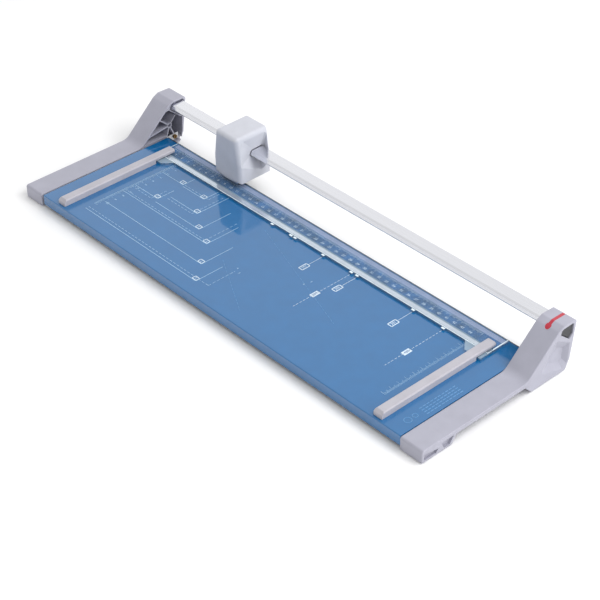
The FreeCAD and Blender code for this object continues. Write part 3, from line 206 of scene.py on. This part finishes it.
group_outputs = [s.name for s in MOULDED_GRAIN.interface.items_tree if s.in_out == "OUTPUT"]
print("group:", MOULDED_GRAIN.name, "outputs:", group_outputs)

# %% [markdown]
# ## The moulded plastics
# The end supports, the cutting head and the side guides are three shades of light grey. They share the
# grain and differ in tone: the supports are the darkest and coolest, the head is the lightest, and the
# guides lie between them and are a little warmer.
# A small bevel in the shader catches light along the arrises, as any real moulding does.

# %% Grey plastics
SUPPORT_TONE = colour(166, 166, 179)
support_plastic, tree, shader = finish("support_plastic", Specular_IOR_Level=0.4)
grained(tree, shader, SUPPORT_TONE, roughness=0.42, edge=0.0006)
dress(support_plastic, "left_end_support", "right_end_support")

head_plastic, tree, shader = finish("head_plastic", Specular_IOR_Level=0.4)
grained(tree, shader, colour(196, 198, 207), roughness=0.4, edge=0.0004)
dress(head_plastic, "head_shell", "head_back_cover")

guide_plastic, tree, shader = finish("guide_plastic", Specular_IOR_Level=0.35)
grained(tree, shader, colour(180, 178, 186), size=0.0006, mottle=0.05, roughness=0.46, edge=0.0004)
dress(guide_plastic, "left_alignment_bar", "right_alignment_bar")

slide_plastic, tree, shader = finish("slide_plastic")
grained(tree, shader, colour(48, 48, 52), roughness=0.45)
dress(slide_plastic, "slide_block", "blade_holder", "left_rail_plug", "right_rail_plug")

bush_plastic, tree, shader = finish("bush_plastic")
grained(tree, shader, colour(228, 225, 215), roughness=0.35)
dress(bush_plastic, "left_glide_bush", "right_glide_bush", "blade_hub", "hub_ring")
print("grey plastics:", support_plastic.name, head_plastic.name, guide_plastic.name)

# %% [markdown]
# ## The red inlay and the rubber
# The inlay is glossy, so it gets a clear coat over a saturated base. The feet and the press rollers are
# plain black rubber: almost no shine, and a coarser grain than the plastics.

# %% Red inlay and rubber
accent_gloss, tree, shader = finish("accent_gloss", Coat_Weight=0.6, Coat_Roughness=0.08)
grained(tree, shader, colour(178, 26, 52), mottle=0.03, roughness=0.34, depth=0.000008)
dress(accent_gloss, "red_inlay")

rubber, tree, shader = finish("rubber", Specular_IOR_Level=0.3)
grained(tree, shader, colour(38, 38, 41), size=0.0009, mottle=0.12, roughness=0.78, depth=0.00005)
dress(rubber, "rubber_feet", "left_press_roller", "right_press_roller")
print("inlay and rubber ready")

# %% [markdown]
# ## Drawn and ground metal
# The rail is drawn through a die, so its fine lines run along its length. Stretching a noise along X
# makes such lines. The round blade is ground, the counter blade is a near-black steel, and the
# screws, springs and stiffeners are zinc plated, with a faint cloudy bloom. One group makes the lines
# for all of them.

# %% Drawn lines group
ROUGHNESS_SWING = 0.25


def drawn_group():
    tree, given, result, where = surface_group("drawn_lines", (
        ("Stretch", "NodeSocketVector", (4.0, 900.0, 900.0)),
        ("Color", "NodeSocketColor", (0.8, 0.8, 0.8, 1)),
        ("Contrast", "NodeSocketFloat", 0.06), ("Roughness", "NodeSocketFloat", 0.3),
    ))
    stretched = add_node(tree, "ShaderNodeVectorMath", {"operation": "MULTIPLY"})
    tree.links.new(where, stretched.inputs[0])
    tree.links.new(given.outputs["Stretch"], stretched.inputs[1])
    lines = add_node(
        tree, "ShaderNodeTexNoise", Vector=stretched.outputs["Vector"], Scale=1.0, Detail=3.0, Roughness=0.7
    )
    centred = calculate(tree, "SUBTRACT", lines.outputs["Fac"], 0.5)
    factor = calculate(tree, "MULTIPLY_ADD", centred, given.outputs["Contrast"], 1.0)
    rough = calculate(tree, "MULTIPLY_ADD", centred, ROUGHNESS_SWING, given.outputs["Roughness"])
    tree.links.new(tinted(tree, given.outputs["Color"], factor), result.inputs["Color"])
    tree.links.new(rough, result.inputs["Roughness"])
    tree.links.new(lines.outputs["Fac"], result.inputs["Height"])
    return tree


DRAWN_LINES = drawn_group()


def drawn_metal(name, tone, stretch, roughness, contrast=0.12, metallic=1.0, depth=0.000004, edge=0.0003):
    """A metal whose lines run along the axis with the small stretch."""
    material, tree, shader = finish(name, Metallic=metallic)
    lines = add_node(
        tree, "ShaderNodeGroup", {"node_tree": DRAWN_LINES}, Stretch=stretch, Color=tone, Contrast=contrast,
        Roughness=roughness,
    )
    tree.links.new(lines.outputs["Color"], shader.inputs["Base Color"])
    tree.links.new(lines.outputs["Roughness"], shader.inputs["Roughness"])
    relief(tree, shader, lines.outputs["Height"], depth, edge)
    return material


rail_metal = drawn_metal("rail_metal", colour(232, 233, 238), (5.0, 1400.0, 1400.0), roughness=0.17)
dress(rail_metal, "guide_rail")
ground_steel = drawn_metal("ground_steel", colour(178, 180, 186), (1200.0, 1200.0, 40.0), roughness=0.24)
dress(ground_steel, "rotary_blade")
black_steel = drawn_metal(
    "near_black_steel", colour(28, 32, 50), (20.0, 900.0, 900.0), roughness=0.5, metallic=0.15, contrast=0.2
)
dress(black_steel, "counter_blade")
zinc = drawn_metal("zinc_plate", colour(190, 192, 196), (260.0, 260.0, 260.0), roughness=0.36, contrast=0.25)
dress(
    zinc, "table_screws", "bar_screws", "rail_screws", "counter_blade_screws", "head_screws", "blade_axle",
    "roller_axles", "blade_end_clips", "strip_leaf_springs", "blade_spring",
    "front_stiffener", "rear_stiffener",
)
brass = drawn_metal("brass", colour(116, 92, 60), (300.0, 300.0, 300.0), roughness=0.28, contrast=0.2)
dress(brass, "brass_clip_screws")
print("metals:", [m.name for m in (rail_metal, ground_steel, black_steel, zinc, brass)])

# %% [markdown]
# ## The table's blue coat
# The table is powder coated: a deep blue under a clear glossy coat, with a skin of very shallow waves,
# called orange peel. The waves are about a millimetre across and two microns high, so they only show
# where a bright wall is mirrored in them. The coat's high index makes the table paler the flatter one
# looks along it. The blue is uneven by a few per cent, as a sprayed coat is.

# %% Blue powder coat
TABLE_BLUE = colour(0, 99, 157)
table_coat, tree, shader = finish(
    "table_coat", Specular_IOR_Level=0.15, Coat_Weight=1.0, Coat_Roughness=0.05, Coat_IOR=1.78
)
grained(
    tree, shader, TABLE_BLUE, size=0.0011, mottle=0.04, roughness=0.3, spread=0.05,
    depth=0.000002, edge=0.0008,
)
dress(table_coat, "base_table")
print("table blue:", [round(c, 3) for c in TABLE_BLUE])

# %% [markdown]
# ## Flat print, as thin meshes
# The table carries white paper formats, rulers and cutting angles. A picture could hold them, but a thin
# mesh stays sharp at any distance and travels with the model. `Print` collects rectangles, and
# `as_piece` makes one mesh from them, a few hundredths of a millimetre above the surface.


class Print:
    """Flat marks on a level surface, gathered into one mesh."""

    def __init__(self, height):
        self.height = height
        self.corners = []
        self.faces = []

    def quad(self, points):
        """One face with these corners."""
        first = len(self.corners)
        self.corners += [(x, y, self.height) for x, y in points]
        self.faces.append(tuple(range(first, first + len(points))))

    def block(self, x0, y0, x1, y1):
        """A filled rectangle between two opposite corners."""
        self.quad([(x0, y0), (x1, y0), (x1, y1), (x0, y1)])

    def line(self, start, end, width):
        """A straight line with square ends."""
        a, b = Vector(start), Vector(end)
        side = (b - a).normalized().orthogonal() * width / 2
        self.quad([a - side, b - side, b + side, a + side])

    def dashes(self, start, end, width, dash, gap):
        """A dashed line; its last dash is cut short at the end."""
        a, b = Vector(start), Vector(end)
        run = (b - a).length
        step = (b - a) / run
        at = 0.0
        while at < run:
            self.line(a + step * at, a + step * min(at + dash, run), width)
            at += dash + gap

    def frame_box(self, x, y, wide, high, width):
        """The outline of a small label box, from its lower left corner."""
        self.line((x, y), (x + wide, y), width)
        self.line((x, y + high), (x + wide, y + high), width)
        self.line((x, y), (x, y + high), width)
        self.line((x + wide, y), (x + wide, y + high), width)

    def as_piece(self, name, material, body):
        """One mesh of all the marks, facing up, that moves with the body."""
        mesh = bpy.data.meshes.new(name)
        mesh.from_pydata(self.corners, [], self.faces)
        mesh.materials.append(material)
        piece = bpy.data.objects.new(name, mesh)
        bpy.context.scene.collection.objects.link(piece)
        bm = bmesh.new()
        bm.from_mesh(mesh)
        for face in bm.faces:
            if face.normal.z < 0:
                face.normal_flip()
        bm.to_mesh(mesh)
        bm.free()
        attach(piece, body)
        return piece


def numerals(name, labels, material, body, size, height, turn=0.0):
    """Printed numbers as one flat mesh; labels are (text, x, y), each centred on its place."""
    joined = bmesh.new()
    for text, x, y in labels:
        curve = bpy.data.curves.new("figure", "FONT")
        curve.body = text
        curve.size = size
        curve.align_x = "CENTER"
        curve.align_y = "CENTER"
        figure = bpy.data.objects.new("figure", curve)
        mesh = bpy.data.meshes.new_from_object(figure)
        mesh.transform(Matrix.Translation((x, y, height)) @ Matrix.Rotation(turn, 4, "Z"))
        joined.from_mesh(mesh)
        bpy.data.objects.remove(figure)
        bpy.data.curves.remove(curve)
        bpy.data.meshes.remove(mesh)
    mesh = bpy.data.meshes.new(name)
    joined.to_mesh(mesh)
    joined.free()
    mesh.materials.append(material)
    piece = bpy.data.objects.new(name, mesh)
    bpy.context.scene.collection.objects.link(piece)
    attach(piece, body)
    return piece


def ink(name, tone):
    """Screen-printed ink: matt, with a faint unevenness."""
    material, tree, shader = finish(name, Specular_IOR_Level=0.3)
    grained(tree, shader, tone, size=0.0005, mottle=0.08, roughness=0.5, depth=0.000002)
    return material


white_ink = ink("white_ink", colour(212, 228, 242))
thin_ink = ink("thin_ink", colour(168, 202, 228))
INK = 0.00004
NUMBER_SIZE, SMALL_NUMBER_SIZE = 0.0042, 0.0034
print("ink height above the surface, mm:", INK / MM)

# %% [markdown]
# ## Paper formats on the table
# Each standard sheet has a corner printed at its own width from the left guide and its own depth from
# the cut, so a sheet can be laid in its place. The corners are pairs of lines with a small label box
# where they meet. The two zeros are the cut edge and a line nine millimetres to the left of the left
# guide's stop face, and both come from the frame.

# %% Paper formats
table_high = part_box("base_table")[1]
cut_y = table_high.y
stop_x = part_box("left_alignment_bar")[1].x
far_stop_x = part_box("right_alignment_bar")[0].x
zero_x = stop_x - 9 * MM
surface = table_high.z + INK
LINE = 0.0005

# Width, depth, and where the corner's two lines begin, all in millimetres from the two zeros.
FORMATS = [
    (202, 148, 25, 114), (184, 126, 26, 85), (161, 100, 25, 58), (136, 89, 66, 47), (113, 72, 70, 30),
    (97, 50, 63, 30), (63, 84, 25, 62), (61, 48, 24, 32),
]
# Formats that have a dashed twin for the envelope, and how far it lies outside or inside.
TWINS = {202: (14, -4), 161: (-6, -3), 113: (-4, 4), 97: (4, -3), 63: (-5, 4)}
TWIN_DASHES = {"width": LINE * 0.8, "dash": 0.0035, "gap": 0.002}
# A format's label box: how far its lower left corner lies from the format's corner, and its size.
BOX_LEFT, BOX_UP, BOX_WIDE, BOX_HIGH = 0.0066, 0.0008, 0.0058, 0.0046
formats = Print(surface)
boxes = Print(surface)


def on_table(x, y):
    """Millimetres from the two zeros, as a place on the table."""
    return zero_x + x * MM, cut_y - y * MM


for wide, deep, x_from, y_from in FORMATS:
    formats.line(on_table(x_from, deep), on_table(wide, deep), LINE)
    formats.line(on_table(wide, deep), on_table(wide, y_from), LINE)
    corner = on_table(wide, deep)
    boxes.frame_box(corner[0] - BOX_LEFT, corner[1] + BOX_UP, BOX_WIDE, BOX_HIGH, LINE * 1.6)
    if wide in TWINS:
        more_wide, more_deep = TWINS[wide]
        twin = (wide + more_wide, deep + more_deep)
        formats.dashes(on_table(x_from, twin[1]), on_table(*twin), **TWIN_DASHES)
        formats.dashes(on_table(*twin), on_table(twin[0], y_from + more_deep), **TWIN_DASHES)
format_lines = formats.as_piece("format_lines", thin_ink, "base")
boxes.as_piece("format_boxes", white_ink, "base")
print("format corners:", len(FORMATS), "faces:", len(format_lines.data.polygons))

# %% [markdown]
# ## Rulers beside the guides and the angle lines
# A millimetre scale runs along the left guide, with a longer tick every five and ten, and a second one
# lies inside the right guide. Two faint dashed lines show cutting angles across the table.

# %% Rulers and angles
# The scales start this far from the cut and are this long, in millimetres.
SCALE_FROM, SCALE_LENGTH = 26, 110
TICK_LINE = 0.00022
NUMBERS_INSIDE = 0.0095
rulers = Print(surface)
ruler_x = zero_x + 24 * MM
far_ruler_x = far_stop_x - 12 * MM


def tick_length(step, at_ten, at_five, at_one):
    """A longer tick every ten and every five steps."""
    return at_ten if step % 10 == 0 else at_five if step % 5 == 0 else at_one


for step in range(SCALE_LENGTH + 1):
    y = cut_y - (SCALE_FROM + step) * MM
    tick = tick_length(step, 0.006, 0.0042, 0.0026)
    rulers.line((ruler_x, y), (ruler_x + tick, y), TICK_LINE)
    rulers.line((far_ruler_x, y), (far_ruler_x - tick, y), TICK_LINE)
scale_end = cut_y - (SCALE_FROM + SCALE_LENGTH) * MM
rulers.line((ruler_x, cut_y - SCALE_FROM * MM), (ruler_x, scale_end), 0.0003)
ANGLES = [((183, 42), (343, 98)), ((193, 106), (267, 148))]
faint_ink = ink("faint_ink", colour(96, 146, 192))
angles = Print(surface)
for start, end in ANGLES:
    angles.dashes(on_table(*start), on_table(*end), 0.0003, dash=0.004, gap=0.002)
angles.as_piece("angle_lines", faint_ink, "base")
ruler_marks = rulers.as_piece("ruler_marks", thin_ink, "base")
numerals(
    "ruler_numbers",
    [(str(n), ruler_x + NUMBERS_INSIDE, cut_y - (SCALE_FROM + 10 * n) * MM) for n in range(1, 11)],
    thin_ink, "base", NUMBER_SIZE, surface, turn=math.radians(-90),
)
print("ruler marks:", len(ruler_marks.data.polygons))

# %% [markdown]
# ## Labels for the larger sheets
# Towards the right, short lines point from the strip's format nibs to small numbered boxes. The numbers
# are the sheet widths in millimetres. Two of the labels are filled, with the number left out of the
# white, and here that is a white box with a blue number on it.

# %% Width labels
labels = Print(surface)
blue_ink = ink("blue_ink", colour(10, 78, 140))
# All in millimetres: a label's box, and how far from the cut its dashed or plain line starts.
BOX_ACROSS, BOX_ALONG = 5.5, 10
DASHES_FROM, LINES_FROM = 33, 32
LABEL_LINE = 0.0004
# Sheet width, middle of its box and far end of its line, in millimetres from the cut; filled or outlined.
WIDTHS = [
    (257, 56, 51, False), (297, 79, 107, True), (305, 57, 52, False), (381, 57, 52, False),
    (420, 79, 107, True),
]
outlined, filled = [], []
for width, middle, line_end, solid in WIDTHS:
    x0, x1 = width - BOX_ACROSS / 2, width + BOX_ACROSS / 2
    y0, y1 = middle - BOX_ALONG / 2, middle + BOX_ALONG / 2
    x, y = on_table(width, middle)
    if solid:
        start, end = on_table(width, DASHES_FROM), on_table(width, line_end)
        labels.dashes(start, end, LABEL_LINE, dash=0.003, gap=0.0015)
        labels.block(*on_table(x0, y0), *on_table(x1, y1))
        filled.append((str(width), x, y))
    else:
        labels.line(on_table(width, LINES_FROM), on_table(width, line_end), LABEL_LINE)
        labels.frame_box(*on_table(x0, y1), BOX_ACROSS * MM, BOX_ALONG * MM, 0.001)
        outlined.append((str(width), x, y))
labels.as_piece("label_marks", white_ink, "base")
ALONG_LINE = math.radians(90)
numerals("outlined_numbers", outlined, white_ink, "base", NUMBER_SIZE, surface, turn=ALONG_LINE)
numerals("filled_numbers", filled, blue_ink, "base", NUMBER_SIZE, surface + INK, turn=ALONG_LINE)
in_boxes = []
for number, (wide, deep, x_from, y_from) in enumerate(FORMATS, start=1):
    x, y = on_table(wide, deep)
    in_boxes.append((str(number), x - BOX_LEFT + BOX_WIDE / 2, y + BOX_UP + BOX_HIGH / 2))
numerals("format_numbers", in_boxes, white_ink, "base", SMALL_NUMBER_SIZE, surface)
ANGLE_NUMBERS = [("6", 278, 76), ("5", 280, 68), ("4", 214, 105), ("3", 221, 109)]
beside_angles = [(text, *on_table(x, y)) for text, x, y in ANGLE_NUMBERS]
numerals("angle_numbers", beside_angles, thin_ink, "base", SMALL_NUMBER_SIZE, surface)

# Plain rows of dashes and two rings stand where the maker's small print and marks would be.
PRINT_ROWS, FIRST_ROW, ROW_PITCH = 4, 484, 3.2
ROW_START, ROW_END = 128, 82
RING_SIDES, RING_X = 28, 488
RINGS = [(146, 3.6), (137, 2.6)]
small_print = Print(surface)
for row in range(PRINT_ROWS):
    at = FIRST_ROW + row * ROW_PITCH
    small_print.dashes(on_table(at, ROW_START), on_table(at, ROW_END), 0.0009, dash=0.0035, gap=0.0012)
for middle, radius in RINGS:
    turns = [step * math.tau / RING_SIDES for step in range(RING_SIDES)]
    rim = [(RING_X + radius * math.cos(turn), middle + radius * math.sin(turn)) for turn in turns]
    for start, end in zip(rim, rim[1:] + rim[:1]):
        small_print.line(on_table(*start), on_table(*end), 0.0007)
small_print.as_piece("small_print", faint_ink, "base")
print("width labels:", [w[0] for w in WIDTHS])

# %% [markdown]
# ## The clear strip
# The strip that holds the paper is clear acrylic, two millimetres thick. True refraction darkens its
# edges and what lies under it unless light takes very many bounces, so the strip is mostly see-through by
# alpha instead, with a gloss on top.

# %% Clear acrylic
strip_low, strip_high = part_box("clear_strip")
acrylic, tree, shader = finish(
    "clear_acrylic", Base_Color=colour(196, 222, 240), Alpha=0.07, IOR=1.49, Specular_IOR_Level=0.8
)
haze = add_node(tree, "ShaderNodeTexNoise", Scale=35.0, Detail=2.0)
tree.links.new(tree.nodes.new("ShaderNodeTexCoord").outputs["Object"], haze.inputs["Vector"])
haze_range = add_node(tree, "ShaderNodeMapRange", Value=haze.outputs["Fac"], To_Min=0.04, To_Max=0.12)
tree.links.new(haze_range.outputs["Result"], shader.inputs["Roughness"])
dress(acrylic, "clear_strip")
print("strip, mm:", [round(v / MM, 1) for v in (strip_high - strip_low)])

# %% [markdown]
# ## Print and painted light on the strip
# The marks ride with the strip. From the front there is a bright polished band that mirrors the room, a
# thin seam, a mottled dark blue band of painted shade that carries the scale, and a pale lilac band of
# painted sheen at the back. Pale lines of painted highlight run along the strip's edges, and a pale cover
# of painted sheen lies on the lugs. The scale is seen through the acrylic, so it lies on the underside,
# and its ticks and numbers lie just above the blue.

# %% Print and painted light on the strip
under = strip_low.z - 0.00005
top = strip_high.z + INK
# How far the lugs stand out, then how deep the front stripe is, the seam inside its back edge, and the scale.
LUG_REACH, FRONT_BAND, SEAM, SCALE_DEPTH = 0.0108, 0.0078, 0.0016, 0.0146
strip_front = strip_low.y + LUG_REACH
SCALE_FRONT = strip_front + FRONT_BAND
SCALE_BACK = SCALE_FRONT + SCALE_DEPTH
band_end = strip_high.x - 0.0012


def band(name, y0, y1, height, material):
    """A stripe along the whole strip."""
    sheet = Print(height)
    sheet.block(-band_end, y0, band_end, y1)
    sheet.as_piece(name, material, "pressing_strip")


frost, tree, shader = finish("frosted_band", Metallic=0.8, Coat_Weight=0.3, Alpha=0.85)
grained(tree, shader, colour(214, 226, 238), size=0.0012, mottle=0.06, roughness=0.12, depth=0.000002)
# Painted shade: the mottled dark blue band under the scale stands for the shaded table below the strip.
painted_shade_blue, tree, shader = finish("painted_shade_blue", Specular_IOR_Level=0.4)
grained(tree, shader, colour(28, 86, 140), size=0.0025, mottle=0.5, roughness=0.45)
# Painted sheen: the pale lilac band at the back stands for the light the strip's curve throws back.
lilac, tree, shader = finish("painted_sheen_band", Specular_IOR_Level=0.4)
grained(tree, shader, colour(150, 164, 198), size=0.0015, mottle=0.1, roughness=0.4)
# One pale material serves the painted edge highlights and the white print on the teeth.
edge_highlight_and_tooth_white, tree, shader = finish("edge_highlight_and_tooth_white", Specular_IOR_Level=0.5)
grained(tree, shader, colour(226, 240, 248), size=0.001, mottle=0.04, roughness=0.3, depth=0.000002)
seam, tree, shader = finish("seam_line", Specular_IOR_Level=0.3)
grained(tree, shader, colour(120, 142, 160), size=0.001, mottle=0.08, roughness=0.5)
band("frost_band", strip_front + 0.0012, SCALE_FRONT - SEAM, top, frost)
band("seam_line", SCALE_FRONT - SEAM, SCALE_FRONT, top, seam)
band("painted_shade_band", SCALE_FRONT, SCALE_BACK, under, painted_shade_blue)
band("painted_sheen_band", SCALE_BACK, strip_high.y - 0.0008, under, lilac)
EDGE_LINE, RIGHT_EDGE_LINE = 0.0008, 0.0014
front_line, edge_back = strip_front + 0.0006, strip_high.y - 0.001
# Painted highlights: pale lines along the strip's front and both ends stand for the light its edges catch.
edges = Print(top)
edges.line((-band_end, front_line), (band_end, front_line), EDGE_LINE)
edges.line((band_end, strip_front), (band_end, edge_back), RIGHT_EDGE_LINE)
edges.line((-band_end, strip_front), (-band_end, edge_back), EDGE_LINE)
edges.as_piece("painted_edge_highlights", edge_highlight_and_tooth_white, "pressing_strip")
# Painted sheen: a pale, half-opaque cover on the lugs stands for the white room mirrored in them.
lugs = Print(top)
LUG_LENGTH, LUG_SLOPE = 19.5 * MM, 9.5 * MM
for side in (-1, 1):
    tip = side * strip_high.x
    root = tip - side * LUG_LENGTH
    lugs.quad([
        (tip, strip_low.y), (root, strip_low.y), (root - side * LUG_SLOPE, strip_front), (tip, strip_front),
    ])
lug_sheen_paint, tree, shader = finish("lug_sheen_paint", Alpha=0.45, Specular_IOR_Level=0.6)
grained(tree, shader, colour(190, 212, 228), size=0.001, mottle=0.05, roughness=0.2, depth=0.000002)
lugs.as_piece("painted_lug_sheen", lug_sheen_paint, "pressing_strip")

# The small teeth on the front edge are moulded with the strip and painted white on top.
NIB_WIDTHS = [182, 210, 216, 257, 297, 305, 381, 420]
NIB_DEPTH, NIB_WIDE, NIB_HIGH = 2.4 * MM, 4 * MM, 1.5 * MM
teeth = Print(strip_low.z + NIB_HIGH + INK)
for width in NIB_WIDTHS:
    x = zero_x + width * MM
    teeth.block(x - NIB_WIDE / 2, strip_front - NIB_DEPTH, x + NIB_WIDE / 2, strip_front)
teeth.as_piece("white_teeth", edge_highlight_and_tooth_white, "pressing_strip")

STRIP_SCALE_LENGTH, LAST_NUMBER = 450, 44
tick_root = SCALE_BACK - 0.0005
ticks = Print(under + INK)
for step in range(STRIP_SCALE_LENGTH + 1):
    x = zero_x + step * MM
    ticks.line((x, tick_root), (x, tick_root - tick_length(step, 0.0048, 0.0036, 0.0022)), TICK_LINE)
strip_ticks = ticks.as_piece("strip_ticks", white_ink, "pressing_strip")
numerals(
    "strip_numbers",
    [(str(n), zero_x + n * 10 * MM, SCALE_BACK - 0.0085) for n in range(1, LAST_NUMBER + 1)],
    white_ink, "pressing_strip", NUMBER_SIZE, under + INK,
)
print("strip ticks:", len(strip_ticks.data.polygons), "numbers to", LAST_NUMBER, "cm")

# %% [markdown]
# ## The floor
# The trimmer stands on a plain white floor, level with the bottom of its rubber feet.

# %% Floor
bpy.ops.mesh.primitive_plane_add(size=8.0, location=(0, 0, cad_low.z))
floor = bpy.context.active_object
floor.name = "floor"
floor_white, tree, shader = finish("floor_white", Base_Color=(0.95, 0.95, 0.952, 1), Roughness=0.9)
floor.data.materials.append(floor_white)
print("floor at z =", round(cad_low.z, 5))

# %% [markdown]
# ## Sky and lamps
# The room is white all round. Its sky is a little brighter towards the horizon than overhead, and dimmer
# in front, so the faces that look forward stay darker and the ramps read as ramps. A large lamp high
# behind and to the right lights the upward faces, and a weaker one lights the faces that look right.

# %% Sky and lamps
world = bpy.data.worlds.new("white_room")
bpy.context.scene.world = world
world.use_nodes = True
sky = world.node_tree
background = sky.nodes["Background"]
background.inputs["Color"].default_value = (1.0, 1.0, 1.0, 1.0)
ray = sky.nodes.new("ShaderNodeTexCoord").outputs["Generated"]
split = add_node(sky, "ShaderNodeSeparateXYZ", Vector=ray)
overhead = add_node(
    sky, "ShaderNodeMapRange", Value=split.outputs["Z"], From_Min=0.4, From_Max=0.75, To_Min=1.1, To_Max=0.84
)
front_side = add_node(
    sky, "ShaderNodeMapRange", Value=split.outputs["Y"], From_Min=-0.9, From_Max=0.1, To_Min=0.62, To_Max=1.0
)
bright = calculate(sky, "MULTIPLY", overhead.outputs["Result"], front_side.outputs["Result"])
sky.links.new(bright, background.inputs["Strength"])


def lamp(name, place, aim, size, watts):
    """A square lamp that faces its aim."""
    light = bpy.data.lights.new(name, "AREA")
    light.shape = "SQUARE"
    light.size = size
    light.energy = watts
    item = bpy.data.objects.new(name, light)
    bpy.context.scene.collection.objects.link(item)
    item.location = place
    item.rotation_euler = (Vector(aim) - Vector(place)).to_track_quat("-Z", "Y").to_euler()
    return item


key = lamp("key_lamp", (0.9, 0.7, 1.5), (0.0, 0.0, 0.0), 1.2, 17.0)
side = lamp("side_lamp", (1.7, 0.15, 0.75), (-0.1, 0.08, 0.04), 0.9, 5.0)
for item in (key, side):
    print("lamp:", item.name, item.data.energy, "W")

# %% [markdown]
# ## Camera
# The camera is given by its direction, distance, roll and aim, like a real one on a tripod. A long lens
# from well away keeps the perspective gentle.

# %% Camera
AZIMUTH, ELEVATION, ROLL = math.radians(48.18), math.radians(36.59), math.radians(-1.07)
DISTANCE = 1.6524
LENS, SENSOR = 104.56, 36.0
AIM = Vector((0.0616, -0.0305, 0.0179))
back = Vector((
    math.sin(AZIMUTH) * math.cos(ELEVATION), -math.cos(AZIMUTH) * math.cos(ELEVATION), math.sin(ELEVATION)
))
right = Vector((math.cos(AZIMUTH), math.sin(AZIMUTH), 0.0))
up = back.cross(right)
level_x = right * math.cos(ROLL) + up * math.sin(ROLL)
level_y = up * math.cos(ROLL) - right * math.sin(ROLL)
camera_data = bpy.data.cameras.new("camera")
camera_data.lens = LENS
camera_data.sensor_width = SENSOR
camera = bpy.data.objects.new("camera", camera_data)
bpy.context.scene.collection.objects.link(camera)
turned = Matrix((level_x, level_y, back)).transposed().to_4x4()
camera.matrix_world = Matrix.Translation(AIM + back * DISTANCE) @ turned
bpy.context.scene.camera = camera
bpy.context.scene.view_settings.view_transform = "Standard"
print("camera at", [round(v, 3) for v in camera.location])
